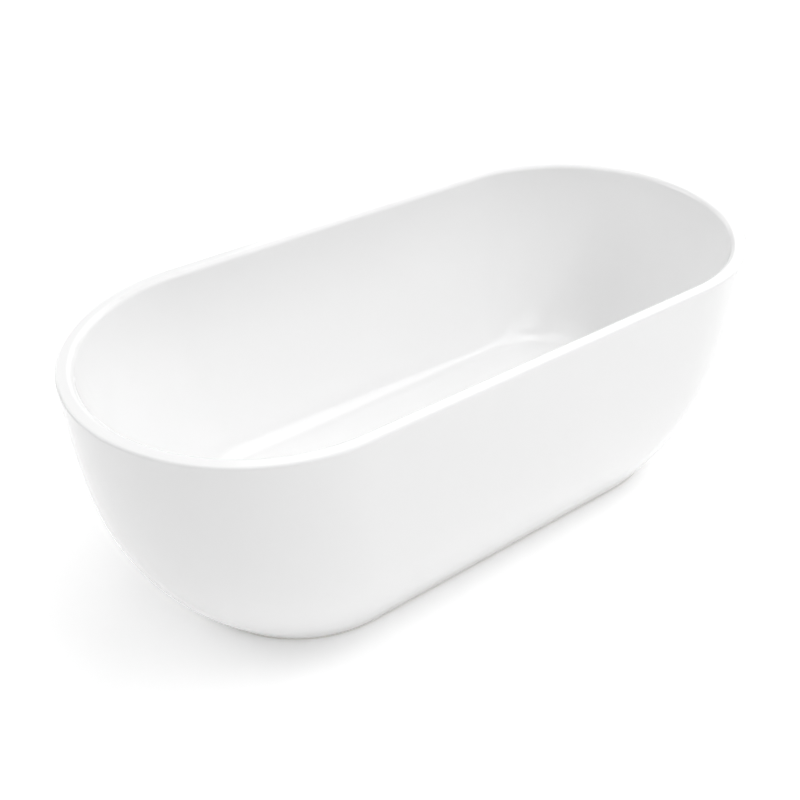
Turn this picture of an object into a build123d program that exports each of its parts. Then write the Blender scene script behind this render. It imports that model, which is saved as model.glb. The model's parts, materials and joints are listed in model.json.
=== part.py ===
from build123d import *
import math
import os

# Freestanding double-skinned acrylic bath, 1700 x 800 x 600 mm.
#
# An acrylic basin hangs by its rolled rim on an outer skirt shell. A board is bonded under the basin floor,
# a steel frame on five levelling feet carries the board, and a click-clack waste with an overflow drains it.
#
# Frame: millimetres, +Z up, origin on the floor under the middle of the bath, +X along the length.
# The overflow is on the -Y side.

# ---- driving dimensions ------------------------------------------------------------------------------------
LENGTH = 1700
WIDTH = 800
HEIGHT = 600
CLEAR = 0.3                                  # gap between neighbours that are shaped to fit each other
RUNNING = 0.05                               # radial clearance of a turning or sliding fit

# outer shell
SHELL_FOOT = 3                               # the skirt stops just above the floor
SHELL_TOP = 580                              # the basin's lip sits on the shell here
SHELL_WALL = 6
SHELL_FOOT_RADIUS = 284.4
SHELL_FOOT_STRAIGHT = 372.1
SHELL_BELLY = (4.126, 0.817)                 # how the half width swells with height
SHELL_SWEEP = (1.565, 1.313)                 # how the straight part grows with height

# basin
FLOOR_Z = 150
FLOOR_RADIUS = 195
FLOOR_STRAIGHT = 400
FLOOR_THICKNESS = 8
BASIN_WALL = 6
BASIN_MOUTH_RADIUS = 366
BASIN_SWELL = (1.3, 2.0)                     # wall profile: level at the floor, almost upright at the rim
RIM_THICKNESS = 10
RIM_EDGE = 6                                 # outer edge radius
RIM_ROLL = 14                                # inner roll-over radius
DISH_RADIUS = 70                             # shallow dish in the floor that leads to the waste
DISH_BOTTOM_RADIUS = 40
DISH_DEPTH = 4
STRIP_WIDTH = 7                              # laminate strip that bonds the lip to the shell
STRIP_DROP = 14

# base board
BOARD_THICKNESS = 15
BOARD_LENGTH = 1080
BOARD_WIDTH = 340
BOARD_CORNER = 150
BOARD_SCREW_X = (395, 230)

# steel frame
TUBE = 25
TUBE_WALL = 1.5
RAIL_LENGTH = 1060
RAIL_Y = 150
BAR_LENGTH = 444
END_BAR_X = 430
MIDDLE_BAR_X = 130
END_CAP_PLATE = 2
END_CAP_DEPTH = 8

# brackets and wooden blocks that hold the skirt
BRACKET_WIDTH = 30
BRACKET_THICKNESS = 3
BRACKET_INNER_Y = 194
BRACKET_BOLT_Y = 208
BLOCK_INNER_Y = 280
BLOCK_Z = 76
BLOCK_HEIGHT = 30
BLOCK_LENGTH = 90
BLOCK_STOCK = 100                            # depth before the block is cut to the shell's curve

# screws and bolts
SCREW_RADIUS = 2.2
SCREW_LENGTH = 36
SCREW_HEAD_RADIUS = 4.5
SCREW_HEAD_HEIGHT = 3
WOOD_SCREW_Z = 92
WOOD_SCREW_LENGTH = 14
BOLT_RADIUS = 3
BOLT_LENGTH = 14
BOLT_HEAD_HEIGHT = 4

# levelling feet
FOOT_Y = 175
STUD_RADIUS = 5
STUD_TOP = 118
STUD_CHAMFER = 1
STUD_GAP = 0.5                               # round the stud in its cross bar
HEX_Z = 14
HEX_HEIGHT = 6
NUT_FLATS = 17
WELD_NUT_HEIGHT = 10
LOCK_NUT_HEIGHT = 6
PAD_RADIUS = 25
PAD_HEIGHT = 12
PAD_EDGE = 2
PAD_SOCKET = 4

# click-clack waste, 1 1/2 inch
WASTE_HOLE = 26
THREAD_RADIUS = 23.9
THREAD_GAP = 0.1
WASTE_BORE = 21
FLANGE_RADIUS = 35
FLANGE_THICKNESS = 2.5
FLANGE_LIP = 1
FLANGE_BEVEL = 3
FLANGE_MOUTH = 2
BARREL_END = 125
SPIDER_Z = 126                               # three arms that carry the click core
SPIDER_HEIGHT = 8
SPIDER_ARM = 3
SPIDER_ROOT = 1                              # how far an arm's end is set into the barrel
BOSS_RADIUS = 7
CORE_THREAD = 4
SEAL = 1.5
UNDER_SEAL = 3
BODY_RADIUS = 29
BODY_FLANGE = 7
BODY_FLANGE_HEIGHT = 5
NECK_TOP = 98
NECK_END = 78
NECK_BORE = 20
BRANCH_Z = 112
BRANCH_RADIUS = 13
BRANCH_END_Y = -44
SPIGOT_END_Y = -62
SPIGOT_RADIUS = 9.8
SPIGOT_BORE = 8

# click-clack plug, shown closed
CAP_RADIUS = 32
CAP_DOME = 5
CAP_RIM = 1.5
CAP_BEVEL = 1
CAP_SOCKET = 2.4
PLUG_SEAL_DEPTH = 5
SLEEVE_RADIUS = 8.5
SLEEVE_BORE = 6.6
SLEEVE_BOTTOM = 138
SLEEVE_ROOF = 1.5
SLEEVE_STUD = 3
SLEEVE_STUD_HEIGHT = 2.2
CORE_ROD = 3
CORE_COLLAR = 6.3
COLLAR_HEIGHT = 1.5
CORE_GAP = 2                                 # over the core's tip
WIRE_RADIUS = 0.5
SPRING_RADIUS = 4.8
SPRING_TURNS = 5

# trap
PIPE_RADIUS = 19.5
PIPE_BORE = 17
TRAP_BEND = 30
TRAP_BOTTOM = 8
OUTLET_BEND = 26
INLET_WASHER = 2
INLET_COLLAR = 3
COLLAR_RADIUS = 23.5
SOCKET_BORE = 20.2                           # takes a 40 mm waste pipe
SOCKET_RADIUS = 24
SOCKET_LENGTH = 30
SOCKET_SHOULDER = 3
UNION_RADIUS = 31
UNION_LOBES = 8
UNION_HEIGHT = 24
UNION_DROP = 7
OUTLET_WASHER = 4
OUTLET_NUT_LENGTH = 20
OUTLET_NUT_LIP = 3

# overflow
OVERFLOW_Z = 500
OVERFLOW_HOLE = 20
OVERFLOW_RADIUS = 27
OVERFLOW_DEPTH = 20
OVERFLOW_WALL = 2.5
GASKET = 2.5
GASKET_GAP = 1.2                             # room for the wall's curve behind the flat gasket
COVER_RADIUS = 32
COVER_DEPTH = 8
COVER_PLATE = 2.5
COVER_EDGE = 1
COVER_GAP = 1                                # round the cover, over the basin wall
COVER_SLOTS = 9
COVER_SLOT_WIDTH = 4.5
COVER_SLOT_CUT = 7
COVER_SLOT_ARC = 120
OVERFLOW_SCREW_RADIUS = 2.5
OVERFLOW_SCREW_HEAD = 2
OVERFLOW_SCREW_EDGE = 0.8
SCREW_BOSS = 5
SPIGOT_Y = -371
SPIGOT_TOP = 486
SPIGOT_BOTTOM = 448

# flexible overflow hose and its clips
HOSE_RADIUS = 12.5
HOSE_BORE = 10
HOSE_GRIP = 18                               # how far the hose goes up its spigot
HOSE_LOW_Z = 82
HOSE_BENDS = [60, 60, 85, 140, 400, 250]
CLIP_WIDTH = 9
CLIP_BAND = 1
CLIP_HOUSING = (12, 6)
CLIP_HOUSING_OUT = 4
CLIP_SCREW_RADIUS = 2.5
CLIP_SCREW_OUT = 4.5
CLIP_SCREW_HEAD = 3
CLIP_FROM_HOSE_END = 8

# ---- levels and places worked out from them ----------------------------------------------------------------
RIM_RADIUS = WIDTH / 2                       # every level section is a straight-sided oval: a stadium
RIM_STRAIGHT = LENGTH / 2 - RIM_RADIUS       # half the straight part of the rim
FLOOR_UNDER = FLOOR_Z - FLOOR_THICKNESS
BOARD_Z = FLOOR_UNDER - BOARD_THICKNESS
RAIL_Z = BOARD_Z - TUBE
BAR_Z = RAIL_Z - TUBE
DISH_Z = FLOOR_Z - DISH_DEPTH
DISH_UNDER = FLOOR_UNDER - DISH_DEPTH
FLANGE_Z = DISH_Z + SEAL
FLANGE_TOP = FLANGE_Z + FLANGE_THICKNESS
BODY_TOP = DISH_UNDER - UNDER_SEAL
CAP_Z = FLANGE_TOP + CLEAR
SLEEVE_CEILING = CAP_Z - SLEEVE_ROOF
CORE_SEAT = SPIDER_Z + SPIDER_HEIGHT
CORE_TIP = SLEEVE_CEILING - CORE_GAP
TRAP_TOP = NECK_END - INLET_WASHER
BEND_Z = TRAP_BOTTOM + PIPE_RADIUS + TRAP_BEND
OUTLET_X = -2 * (TRAP_BEND + OUTLET_BEND)
OUTLET_END = BEND_Z - SOCKET_LENGTH
GASKET_BACK = BASIN_WALL + GASKET_GAP + GASKET
HOSE_TOP = SPIGOT_BOTTOM + HOSE_GRIP
BRACKET_Z = BAR_Z + TUBE
UPWARD = (Align.CENTER, Align.CENTER, Align.MIN)
DOWNWARD = (Align.CENTER, Align.CENTER, Align.MAX)
FOOT_PLACES = [
    (-END_BAR_X, -FOOT_Y),
    (-END_BAR_X, FOOT_Y),
    (END_BAR_X, -FOOT_Y),
    (END_BAR_X, FOOT_Y),
    (MIDDLE_BAR_X, 0),
]
SCREW_PLACES = [(sx * x, sy * RAIL_Y) for x in BOARD_SCREW_X for sx in (-1, 1) for sy in (-1, 1)]

os.makedirs("parts", exist_ok=True)


def finish(piece, name):
    """Label a finished piece and write it under its own name."""
    piece.part.label = name
    export_step(piece.part, f"parts/{name}.step")


# ---- the bath's outlines -----------------------------------------------------------------------------------
def swell(t, power, root):
    """Rise from 0 to 1 along a superellipse quarter."""
    return (1 - (1 - t) ** power) ** (1 / root)


def shell_outline(z, inset=0.0):
    """Half straight length and end radius of the outer shell at height z."""
    t = max(0.0, z - SHELL_FOOT) / (HEIGHT - SHELL_FOOT)
    radius = SHELL_FOOT_RADIUS + (RIM_RADIUS - SHELL_FOOT_RADIUS) * swell(t, *SHELL_BELLY)
    straight = SHELL_FOOT_STRAIGHT + (RIM_STRAIGHT - SHELL_FOOT_STRAIGHT) * swell(t, *SHELL_SWEEP)
    return straight, radius - inset


def basin_outline(z, floor=FLOOR_Z, outset=0.0):
    """Half straight length and end radius of the basin wall at height z."""
    t = (z - floor) / (HEIGHT - floor)
    radius = FLOOR_RADIUS + (BASIN_MOUTH_RADIUS - FLOOR_RADIUS) * swell(t, *BASIN_SWELL)
    return FLOOR_STRAIGHT + (RIM_STRAIGHT - FLOOR_STRAIGHT) * t, radius + outset


def stadium(z, outline):
    """One level section: a straight-sided oval of the given outline."""
    straight, radius = outline
    with BuildSketch(Plane.XY.offset(z)) as section:
        SlotCenterToCenter(2 * straight, 2 * radius)
    return section.sketch


def shell_solid(low, high, inset, steps=12):
    """The outer shell's form between two heights, as a solid."""
    levels = [low + (high - low) * (i / steps) ** 1.5 for i in range(steps + 1)]
    with BuildPart(mode=Mode.PRIVATE) as form:
        for z in levels:
            add(stadium(z, shell_outline(z, inset)))
        loft()
    return form.part


def basin_solid(floor, high, outset, steps=14):
    """The basin's form above a floor level, as a solid: close sections at the floor, where it curves most."""
    levels = [floor + (high - floor) * (i / steps) ** 2 for i in range(steps + 1)]
    with BuildPart(mode=Mode.PRIVATE) as form:
        for z in levels:
            add(stadium(z, basin_outline(z, floor, outset)))
        loft()
    return form.part


# ---- outer shell -------------------------------------------------------------------------------------------
with BuildPart() as outer_shell:
    add(shell_solid(SHELL_FOOT, SHELL_TOP, 0))
    add(shell_solid(SHELL_FOOT, SHELL_TOP, SHELL_WALL), mode=Mode.SUBTRACT)
finish(outer_shell, "outer_shell")

# ---- overflow plane: on the basin's inner wall, facing into the bath ---------------------------------------
wall_y = -basin_outline(OVERFLOW_Z)[1]
wall_slope = math.atan(basin_outline(OVERFLOW_Z + 0.5)[1] - basin_outline(OVERFLOW_Z - 0.5)[1])
overflow_plane = Plane(
    origin=(0, wall_y, OVERFLOW_Z),
    x_dir=(1, 0, 0),
    z_dir=(0, math.cos(wall_slope), math.sin(wall_slope)),
)
overflow_axis = Axis(overflow_plane.origin, overflow_plane.z_dir)

# ---- basin -------------------------------------------------------------------------------------------------
with BuildPart() as inner_basin:
    add(stadium(SHELL_TOP, (RIM_STRAIGHT, RIM_RADIUS)))
    extrude(amount=HEIGHT - SHELL_TOP)
    fillet(inner_basin.edges().group_by(Axis.Z)[-1], RIM_EDGE)
    add(stadium(SHELL_TOP, (RIM_STRAIGHT, RIM_RADIUS - SHELL_WALL)))
    extrude(amount=HEIGHT - RIM_THICKNESS - SHELL_TOP, mode=Mode.SUBTRACT)
    add(basin_solid(FLOOR_UNDER, HEIGHT - RIM_THICKNESS / 2, BASIN_WALL))
    with Locations((0, 0, FLOOR_UNDER)):
        Cone(DISH_BOTTOM_RADIUS + BASIN_WALL, DISH_RADIUS + BASIN_WALL, DISH_DEPTH, align=DOWNWARD)
    add(basin_solid(FLOOR_Z, HEIGHT, 0), mode=Mode.SUBTRACT)
    rim_face = inner_basin.faces().filter_by(Axis.Z).sort_by(Axis.Z)[-1]
    fillet(rim_face.inner_wires()[0].edges(), RIM_ROLL)
    with Locations((0, 0, FLOOR_Z)):
        Cone(DISH_BOTTOM_RADIUS, DISH_RADIUS, DISH_DEPTH, align=DOWNWARD, mode=Mode.SUBTRACT)
        Cylinder(WASTE_HOLE, 4 * FLOOR_THICKNESS, mode=Mode.SUBTRACT)
    with Locations(overflow_plane):
        Cylinder(OVERFLOW_HOLE, 4 * BASIN_WALL, mode=Mode.SUBTRACT)
finish(inner_basin, "inner_basin")

# ---- strip that bonds the basin's lip to the shell, behind the seam ----------------------------------------
with BuildPart() as rim_bonding_strip:
    straight, outside = shell_outline(SHELL_TOP - STRIP_DROP, SHELL_WALL + CLEAR)
    with BuildSketch(Plane.XY.offset(SHELL_TOP - STRIP_DROP)):
        SlotCenterToCenter(2 * straight, 2 * outside)
        SlotCenterToCenter(2 * straight, 2 * (outside - STRIP_WIDTH), mode=Mode.SUBTRACT)
    extrude(amount=HEIGHT - RIM_THICKNESS - SHELL_TOP + STRIP_DROP)
finish(rim_bonding_strip, "rim_bonding_strip")

# ---- base board, bonded under the basin floor --------------------------------------------------------------
with BuildPart() as base_board:
    with BuildSketch(Plane.XY.offset(BOARD_Z)):
        RectangleRounded(BOARD_LENGTH, BOARD_WIDTH, BOARD_CORNER)
        Circle(DISH_RADIUS + 2 * BASIN_WALL, mode=Mode.SUBTRACT)
    extrude(amount=BOARD_THICKNESS)
    with BuildSketch(Plane.XY.offset(BOARD_Z)):
        with Locations(*SCREW_PLACES):
            Circle(SCREW_RADIUS + RUNNING)
    extrude(amount=SCREW_LENGTH - TUBE + CLEAR, mode=Mode.SUBTRACT)
finish(base_board, "base_board")

# ---- steel frame: two rails under the board, three cross bars welded under the rails -----------------------
def square_tube():
    """Draw a square tube's section in the sketch that is open."""
    RectangleRounded(TUBE, TUBE, 2 * TUBE_WALL)
    RectangleRounded(TUBE - 2 * TUBE_WALL, TUBE - 2 * TUBE_WALL, TUBE_WALL, mode=Mode.SUBTRACT)


def make_rail(name, y):
    """A long rail with clearance holes for the board screws."""
    with BuildPart() as rail:
        with BuildSketch(Plane(origin=(0, y, RAIL_Z + TUBE / 2), z_dir=(1, 0, 0))):
            square_tube()
        extrude(amount=RAIL_LENGTH / 2, both=True)
        with Locations(*[(x, y, RAIL_Z + TUBE / 2) for x, place_y in SCREW_PLACES if place_y == y]):
            Cylinder(SCREW_RADIUS + CLEAR, 2 * TUBE, mode=Mode.SUBTRACT)
    finish(rail, name)


def make_cross_bar(name, x, foot_ys, bracket_ys):
    """A cross bar, drilled for its feet's studs and its bracket bolts."""
    middle = BAR_Z + TUBE / 2
    with BuildPart() as bar:
        with BuildSketch(Plane(origin=(x, 0, middle), z_dir=(0, 1, 0))):
            square_tube()
        extrude(amount=BAR_LENGTH / 2, both=True)
        with Locations(*[(x, y, middle) for y in foot_ys]):
            Cylinder(STUD_RADIUS + STUD_GAP, 2 * TUBE, mode=Mode.SUBTRACT)
        if bracket_ys:
            with Locations(*[(x, y, BAR_Z + TUBE) for y in bracket_ys]):
                Cylinder(BOLT_RADIUS + RUNNING, TUBE, mode=Mode.SUBTRACT)
    finish(bar, name)


make_rail("frame_rail_front", -RAIL_Y)
make_rail("frame_rail_back", RAIL_Y)
make_cross_bar("cross_bar_left", -END_BAR_X, (-FOOT_Y, FOOT_Y), (-BRACKET_BOLT_Y, BRACKET_BOLT_Y))
make_cross_bar("cross_bar_right", END_BAR_X, (-FOOT_Y, FOOT_Y), (-BRACKET_BOLT_Y, BRACKET_BOLT_Y))
make_cross_bar("cross_bar_middle", MIDDLE_BAR_X, (0,), ())

# ---- plastic plugs in the tube ends ------------------------------------------------------------------------
tube_ends = [(sx * RAIL_LENGTH / 2, sy * RAIL_Y, RAIL_Z, 90 - 90 * sx) for sx in (-1, 1) for sy in (-1, 1)]
tube_ends += [
    (x, sy * BAR_LENGTH / 2, BAR_Z, 90 * sy) for x in (-END_BAR_X, MIDDLE_BAR_X, END_BAR_X) for sy in (-1, 1)
]
with BuildPart() as tube_end_caps:
    for x, y, z, turn in tube_ends:
        end = Plane(origin=(x, y, z + TUBE / 2), z_dir=Vector(1, 0, 0).rotate(Axis.Z, turn), x_dir=(0, 0, 1))
        with BuildSketch(end):
            RectangleRounded(TUBE, TUBE, 2 * TUBE_WALL)
        extrude(amount=END_CAP_PLATE)
        with BuildSketch(end):
            RectangleRounded(TUBE - 2 * TUBE_WALL - CLEAR, TUBE - 2 * TUBE_WALL - CLEAR, TUBE_WALL)
        extrude(amount=-END_CAP_DEPTH)
finish(tube_end_caps, "tube_end_caps")

# ---- screws through the rails into the board ---------------------------------------------------------------
with BuildPart() as board_screws:
    with Locations(*[(x, y, RAIL_Z) for x, y in SCREW_PLACES]):
        Cylinder(SCREW_RADIUS, SCREW_LENGTH, align=UPWARD)
        Cylinder(SCREW_HEAD_RADIUS, SCREW_HEAD_HEIGHT, align=DOWNWARD)
finish(board_screws, "board_screws")

# ---- brackets that hold the skirt shell to the cross bars --------------------------------------------------
shell_space = shell_solid(SHELL_FOOT, SHELL_TOP / 2, SHELL_WALL + CLEAR)


def make_bracket(name, x, side):
    """A flat steel strip along the bar's top, turned down against the shell's block."""
    with BuildPart() as bracket:
        with BuildSketch(Plane.YZ.offset(x - BRACKET_WIDTH / 2)):
            with BuildLine():
                FilletPolyline(
                    (side * BRACKET_INNER_Y, BRACKET_Z + BRACKET_THICKNESS),
                    (side * BLOCK_INNER_Y, BRACKET_Z + BRACKET_THICKNESS),
                    (side * BLOCK_INNER_Y, BLOCK_Z),
                    radius=2 * BRACKET_THICKNESS,
                )
                offset(amount=BRACKET_THICKNESS, side=Side.RIGHT if side > 0 else Side.LEFT)
            make_face()
        extrude(amount=BRACKET_WIDTH)
        with Locations((x, side * BRACKET_BOLT_Y, BRACKET_Z)):
            Cylinder(BOLT_RADIUS + RUNNING, TUBE / 2, mode=Mode.SUBTRACT)
        with Locations(Location((x, side * BLOCK_INNER_Y, WOOD_SCREW_Z), (90, 0, 0))):
            Cylinder(SCREW_RADIUS + RUNNING, TUBE / 2, mode=Mode.SUBTRACT)
    finish(bracket, name)


def make_block(name, x, side):
    """A wooden block laminated inside the shell, cut to the shell's curve."""
    with BuildPart() as block:
        with Locations((x, side * BLOCK_INNER_Y, BLOCK_Z)):
            Box(BLOCK_LENGTH, BLOCK_STOCK, BLOCK_HEIGHT,
                align=(Align.CENTER, Align.MIN if side > 0 else Align.MAX, Align.MIN))
        add(shell_space, mode=Mode.INTERSECT)
        screw_middle = (x, side * (BLOCK_INNER_Y + WOOD_SCREW_LENGTH / 2), WOOD_SCREW_Z)
        with Locations(Location(screw_middle, (90, 0, 0))):
            Cylinder(SCREW_RADIUS + RUNNING, WOOD_SCREW_LENGTH, mode=Mode.SUBTRACT)
    finish(block, name)


for end_name, end_x in (("left", -END_BAR_X), ("right", END_BAR_X)):
    for side_name, side_sign in (("front", -1), ("back", 1)):
        make_bracket(f"skirt_bracket_{end_name}_{side_name}", end_x, side_sign)
        make_block(f"skirt_block_{end_name}_{side_name}", end_x, side_sign)

# ---- bracket fasteners: a bolt down into each bar and a screw out into each block --------------------------
with BuildPart() as bracket_screws:
    for x in (-END_BAR_X, END_BAR_X):
        for side in (-1, 1):
            with Locations((x, side * BRACKET_BOLT_Y, BRACKET_Z + BRACKET_THICKNESS)):
                Cylinder(BOLT_RADIUS, BOLT_LENGTH, align=DOWNWARD)
                with BuildSketch(Plane.XY.offset(BRACKET_Z + BRACKET_THICKNESS)):
                    with Locations((x, side * BRACKET_BOLT_Y)):
                        RegularPolygon(2 * BOLT_RADIUS, 6)
                extrude(amount=BOLT_HEAD_HEIGHT)
            face = Location((x, side * (BLOCK_INNER_Y - BRACKET_THICKNESS), WOOD_SCREW_Z), (-90 * side, 0, 0))
            with Locations(face):
                Cylinder(SCREW_RADIUS, WOOD_SCREW_LENGTH, align=UPWARD)
                Cylinder(SCREW_HEAD_RADIUS, SCREW_HEAD_HEIGHT, align=DOWNWARD)
finish(bracket_screws, "bracket_screws")


# ---- levelling feet ----------------------------------------------------------------------------------------
def make_foot_pad(name, x, y):
    """A plastic foot with a blind socket for the stud's lower end."""
    with BuildPart() as pad:
        with Locations((x, y, 0)):
            Cylinder(PAD_RADIUS, PAD_HEIGHT / 2, align=UPWARD)
        fillet(pad.edges().group_by(Axis.Z)[-1], PAD_EDGE)
        with Locations((x, y, PAD_HEIGHT / 2)):
            Cone(PAD_RADIUS / 2, 2 * STUD_RADIUS, PAD_HEIGHT / 2, align=UPWARD)
        with Locations((x, y, PAD_SOCKET)):
            Cylinder(STUD_RADIUS + RUNNING, PAD_HEIGHT, align=UPWARD, mode=Mode.SUBTRACT)
    finish(pad, name)


def make_foot_stud(name, x, y):
    """An M10 stud with a fixed hexagon for the spanner."""
    with BuildPart() as stud:
        with Locations((x, y, PAD_SOCKET + CLEAR)):
            Cylinder(STUD_RADIUS, STUD_TOP - PAD_SOCKET - CLEAR, align=UPWARD)
        chamfer(stud.edges().group_by(Axis.Z)[-1], STUD_CHAMFER)
        with BuildSketch(Plane.XY.offset(HEX_Z)):
            with Locations((x, y)):
                RegularPolygon(NUT_FLATS / 2, 6, major_radius=False)
        extrude(amount=HEX_HEIGHT)
    finish(stud, name)


def make_nuts(name, top, height):
    """One hexagon nut round every stud, all at one level."""
    with BuildPart() as nuts:
        with BuildSketch(Plane.XY.offset(top - height)):
            with Locations(*FOOT_PLACES):
                RegularPolygon(NUT_FLATS / 2, 6, major_radius=False)
                Circle(STUD_RADIUS + RUNNING, mode=Mode.SUBTRACT)
        extrude(amount=height)
    finish(nuts, name)


for number, (foot_x, foot_y) in enumerate(FOOT_PLACES, start=1):
    make_foot_pad(f"foot_pad_{number}", foot_x, foot_y)
    make_foot_stud(f"foot_stud_{number}", foot_x, foot_y)
make_nuts("foot_weld_nuts", BAR_Z, WELD_NUT_HEIGHT)
make_nuts("foot_lock_nuts", BAR_Z - WELD_NUT_HEIGHT, LOCK_NUT_HEIGHT)

# ---- waste: chrome flange, screwed down through the floor into the body ------------------------------------
def turned(*profile):
    """Turn a closed profile of (radius, height) points round the waste's axis."""
    with BuildPart(mode=Mode.PRIVATE) as lathe:
        with BuildSketch(Plane.XZ):
            with BuildLine():
                Polyline(*profile, close=True)
            make_face()
        revolve(axis=Axis.Z)
    return lathe.part


with BuildPart() as waste_flange:
    add(turned(
        (WASTE_BORE, BARREL_END), (THREAD_RADIUS, BARREL_END), (THREAD_RADIUS, FLANGE_Z),
        (FLANGE_RADIUS, FLANGE_Z), (FLANGE_RADIUS, FLANGE_Z + FLANGE_LIP),
        (FLANGE_RADIUS - FLANGE_BEVEL, FLANGE_TOP), (WASTE_BORE + FLANGE_MOUTH, FLANGE_TOP),
        (WASTE_BORE, FLANGE_Z + FLANGE_LIP),
    ))
    with Locations((0, 0, SPIDER_Z)):
        Cylinder(BOSS_RADIUS, SPIDER_HEIGHT, align=UPWARD)
        for angle in (90, 210, 330):
            with Locations(Rot(0, 0, angle)):
                Box(WASTE_BORE + SPIDER_ROOT, SPIDER_ARM, SPIDER_HEIGHT,
                    align=(Align.MIN, Align.CENTER, Align.MIN))
        Cylinder(CORE_THREAD + RUNNING, 4 * SPIDER_HEIGHT, mode=Mode.SUBTRACT)
finish(waste_flange, "waste_flange")


def make_washer(name, bottom, height, bore, radius):
    """A flat ring on the waste's axis."""
    with BuildPart() as washer:
        with BuildSketch(Plane.XY.offset(bottom)):
            Circle(radius)
            Circle(bore, mode=Mode.SUBTRACT)
        extrude(amount=height)
    finish(washer, name)


make_washer("waste_upper_seal", DISH_Z, SEAL, WASTE_HOLE - 1, FLANGE_RADIUS - 1)
make_washer("waste_lower_seal", BODY_TOP, UNDER_SEAL, WASTE_HOLE - 1, BODY_RADIUS + BODY_FLANGE)

# ---- waste body: the tee that joins the drain and the overflow ---------------------------------------------
with BuildPart() as waste_body:
    add(turned(
        (NECK_BORE, NECK_END), (THREAD_RADIUS, NECK_END), (THREAD_RADIUS, NECK_TOP), (BODY_RADIUS, NECK_TOP),
        (BODY_RADIUS, BODY_TOP - BODY_FLANGE_HEIGHT),
        (BODY_RADIUS + BODY_FLANGE, BODY_TOP - BODY_FLANGE_HEIGHT), (BODY_RADIUS + BODY_FLANGE, BODY_TOP),
        (0, BODY_TOP), (0, NECK_END),
    ))
    with Locations(Location((0, 0, BRANCH_Z), (90, 0, 0))):
        Cylinder(BRANCH_RADIUS, -BRANCH_END_Y, align=UPWARD)
        Cylinder(SPIGOT_RADIUS, -SPIGOT_END_Y, align=UPWARD)
        Cylinder(SPIGOT_BORE, -2 * SPIGOT_END_Y, align=UPWARD, mode=Mode.SUBTRACT)
    with Locations((0, 0, NECK_END)):
        Cylinder(NECK_BORE, BODY_TOP - NECK_END, align=UPWARD, mode=Mode.SUBTRACT)
    with Locations((0, 0, BARREL_END - 1)):
        Cylinder(THREAD_RADIUS + THREAD_GAP, BODY_TOP, align=UPWARD, mode=Mode.SUBTRACT)
finish(waste_body, "waste_body")

# ---- click-clack plug, shown closed ------------------------------------------------------------------------
with BuildPart() as plug_cap:
    with BuildSketch(Plane.XZ):
        with BuildLine():
            Line((0, CAP_Z), (CAP_RADIUS - CAP_BEVEL, CAP_Z))
            Line((CAP_RADIUS - CAP_BEVEL, CAP_Z), (CAP_RADIUS, CAP_Z + CAP_RIM))
            TangentArc((0, CAP_Z + CAP_DOME), (CAP_RADIUS, CAP_Z + CAP_RIM), tangent=(1, 0))
            Line((0, CAP_Z + CAP_DOME), (0, CAP_Z))
        make_face()
    revolve(axis=Axis.Z)
    with Locations((0, 0, CAP_Z)):
        Cylinder(SLEEVE_STUD + RUNNING, CAP_SOCKET, align=UPWARD, mode=Mode.SUBTRACT)
finish(plug_cap, "plug_cap")

with BuildPart() as click_sleeve:
    add(turned(
        (SLEEVE_BORE, SLEEVE_BOTTOM), (SLEEVE_RADIUS, SLEEVE_BOTTOM), (SLEEVE_RADIUS, CAP_Z),
        (SLEEVE_STUD, CAP_Z), (SLEEVE_STUD, CAP_Z + SLEEVE_STUD_HEIGHT), (0, CAP_Z + SLEEVE_STUD_HEIGHT),
        (0, SLEEVE_CEILING),
        (SLEEVE_BORE, SLEEVE_CEILING),
    ))
finish(click_sleeve, "click_sleeve")

seal_bottom = CAP_Z - PLUG_SEAL_DEPTH
make_washer("plug_seal", seal_bottom, PLUG_SEAL_DEPTH, SLEEVE_RADIUS + RUNNING, WASTE_BORE - CLEAR)

with BuildPart() as click_core:
    add(turned(
        (0, SPIDER_Z), (CORE_THREAD, SPIDER_Z), (CORE_THREAD, CORE_SEAT), (CORE_COLLAR, CORE_SEAT),
        (CORE_COLLAR, CORE_SEAT + COLLAR_HEIGHT), (CORE_ROD, CORE_SEAT + COLLAR_HEIGHT), (CORE_ROD, CORE_TIP),
        (0, CORE_TIP),
    ))
finish(click_core, "click_core")

spring_bottom = CORE_SEAT + COLLAR_HEIGHT + WIRE_RADIUS + CLEAR / 2
spring_height = SLEEVE_CEILING - WIRE_RADIUS - CLEAR / 2 - spring_bottom
with BuildPart() as click_spring:
    with BuildLine(Plane.XY.offset(spring_bottom)) as coil:
        Helix(pitch=spring_height / SPRING_TURNS, height=spring_height, radius=SPRING_RADIUS)
    with BuildSketch(Plane(origin=coil.line @ 0, z_dir=coil.line % 0)):
        Circle(WIRE_RADIUS)
    sweep(path=coil.line, is_frenet=True)
finish(click_spring, "click_spring")

# ---- shallow trap: a U bend and a bend over the top to a compression socket that faces the floor -----------
def trap_pipe(radius):
    """The trap's bent pipe as a solid of the given radius, in the XZ plane."""
    with BuildPart(mode=Mode.PRIVATE) as pipe:
        with BuildLine(Plane.XZ) as run:
            Line((0, TRAP_TOP), (0, BEND_Z))
            TangentArc((0, BEND_Z), (-2 * TRAP_BEND, BEND_Z), tangent=(0, -1))
            TangentArc((-2 * TRAP_BEND, BEND_Z), (OUTLET_X, BEND_Z), tangent=(0, 1))
        with BuildSketch(Plane.XY.offset(TRAP_TOP)):
            Circle(radius)
        sweep(path=run.line)
    return pipe.part


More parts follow.
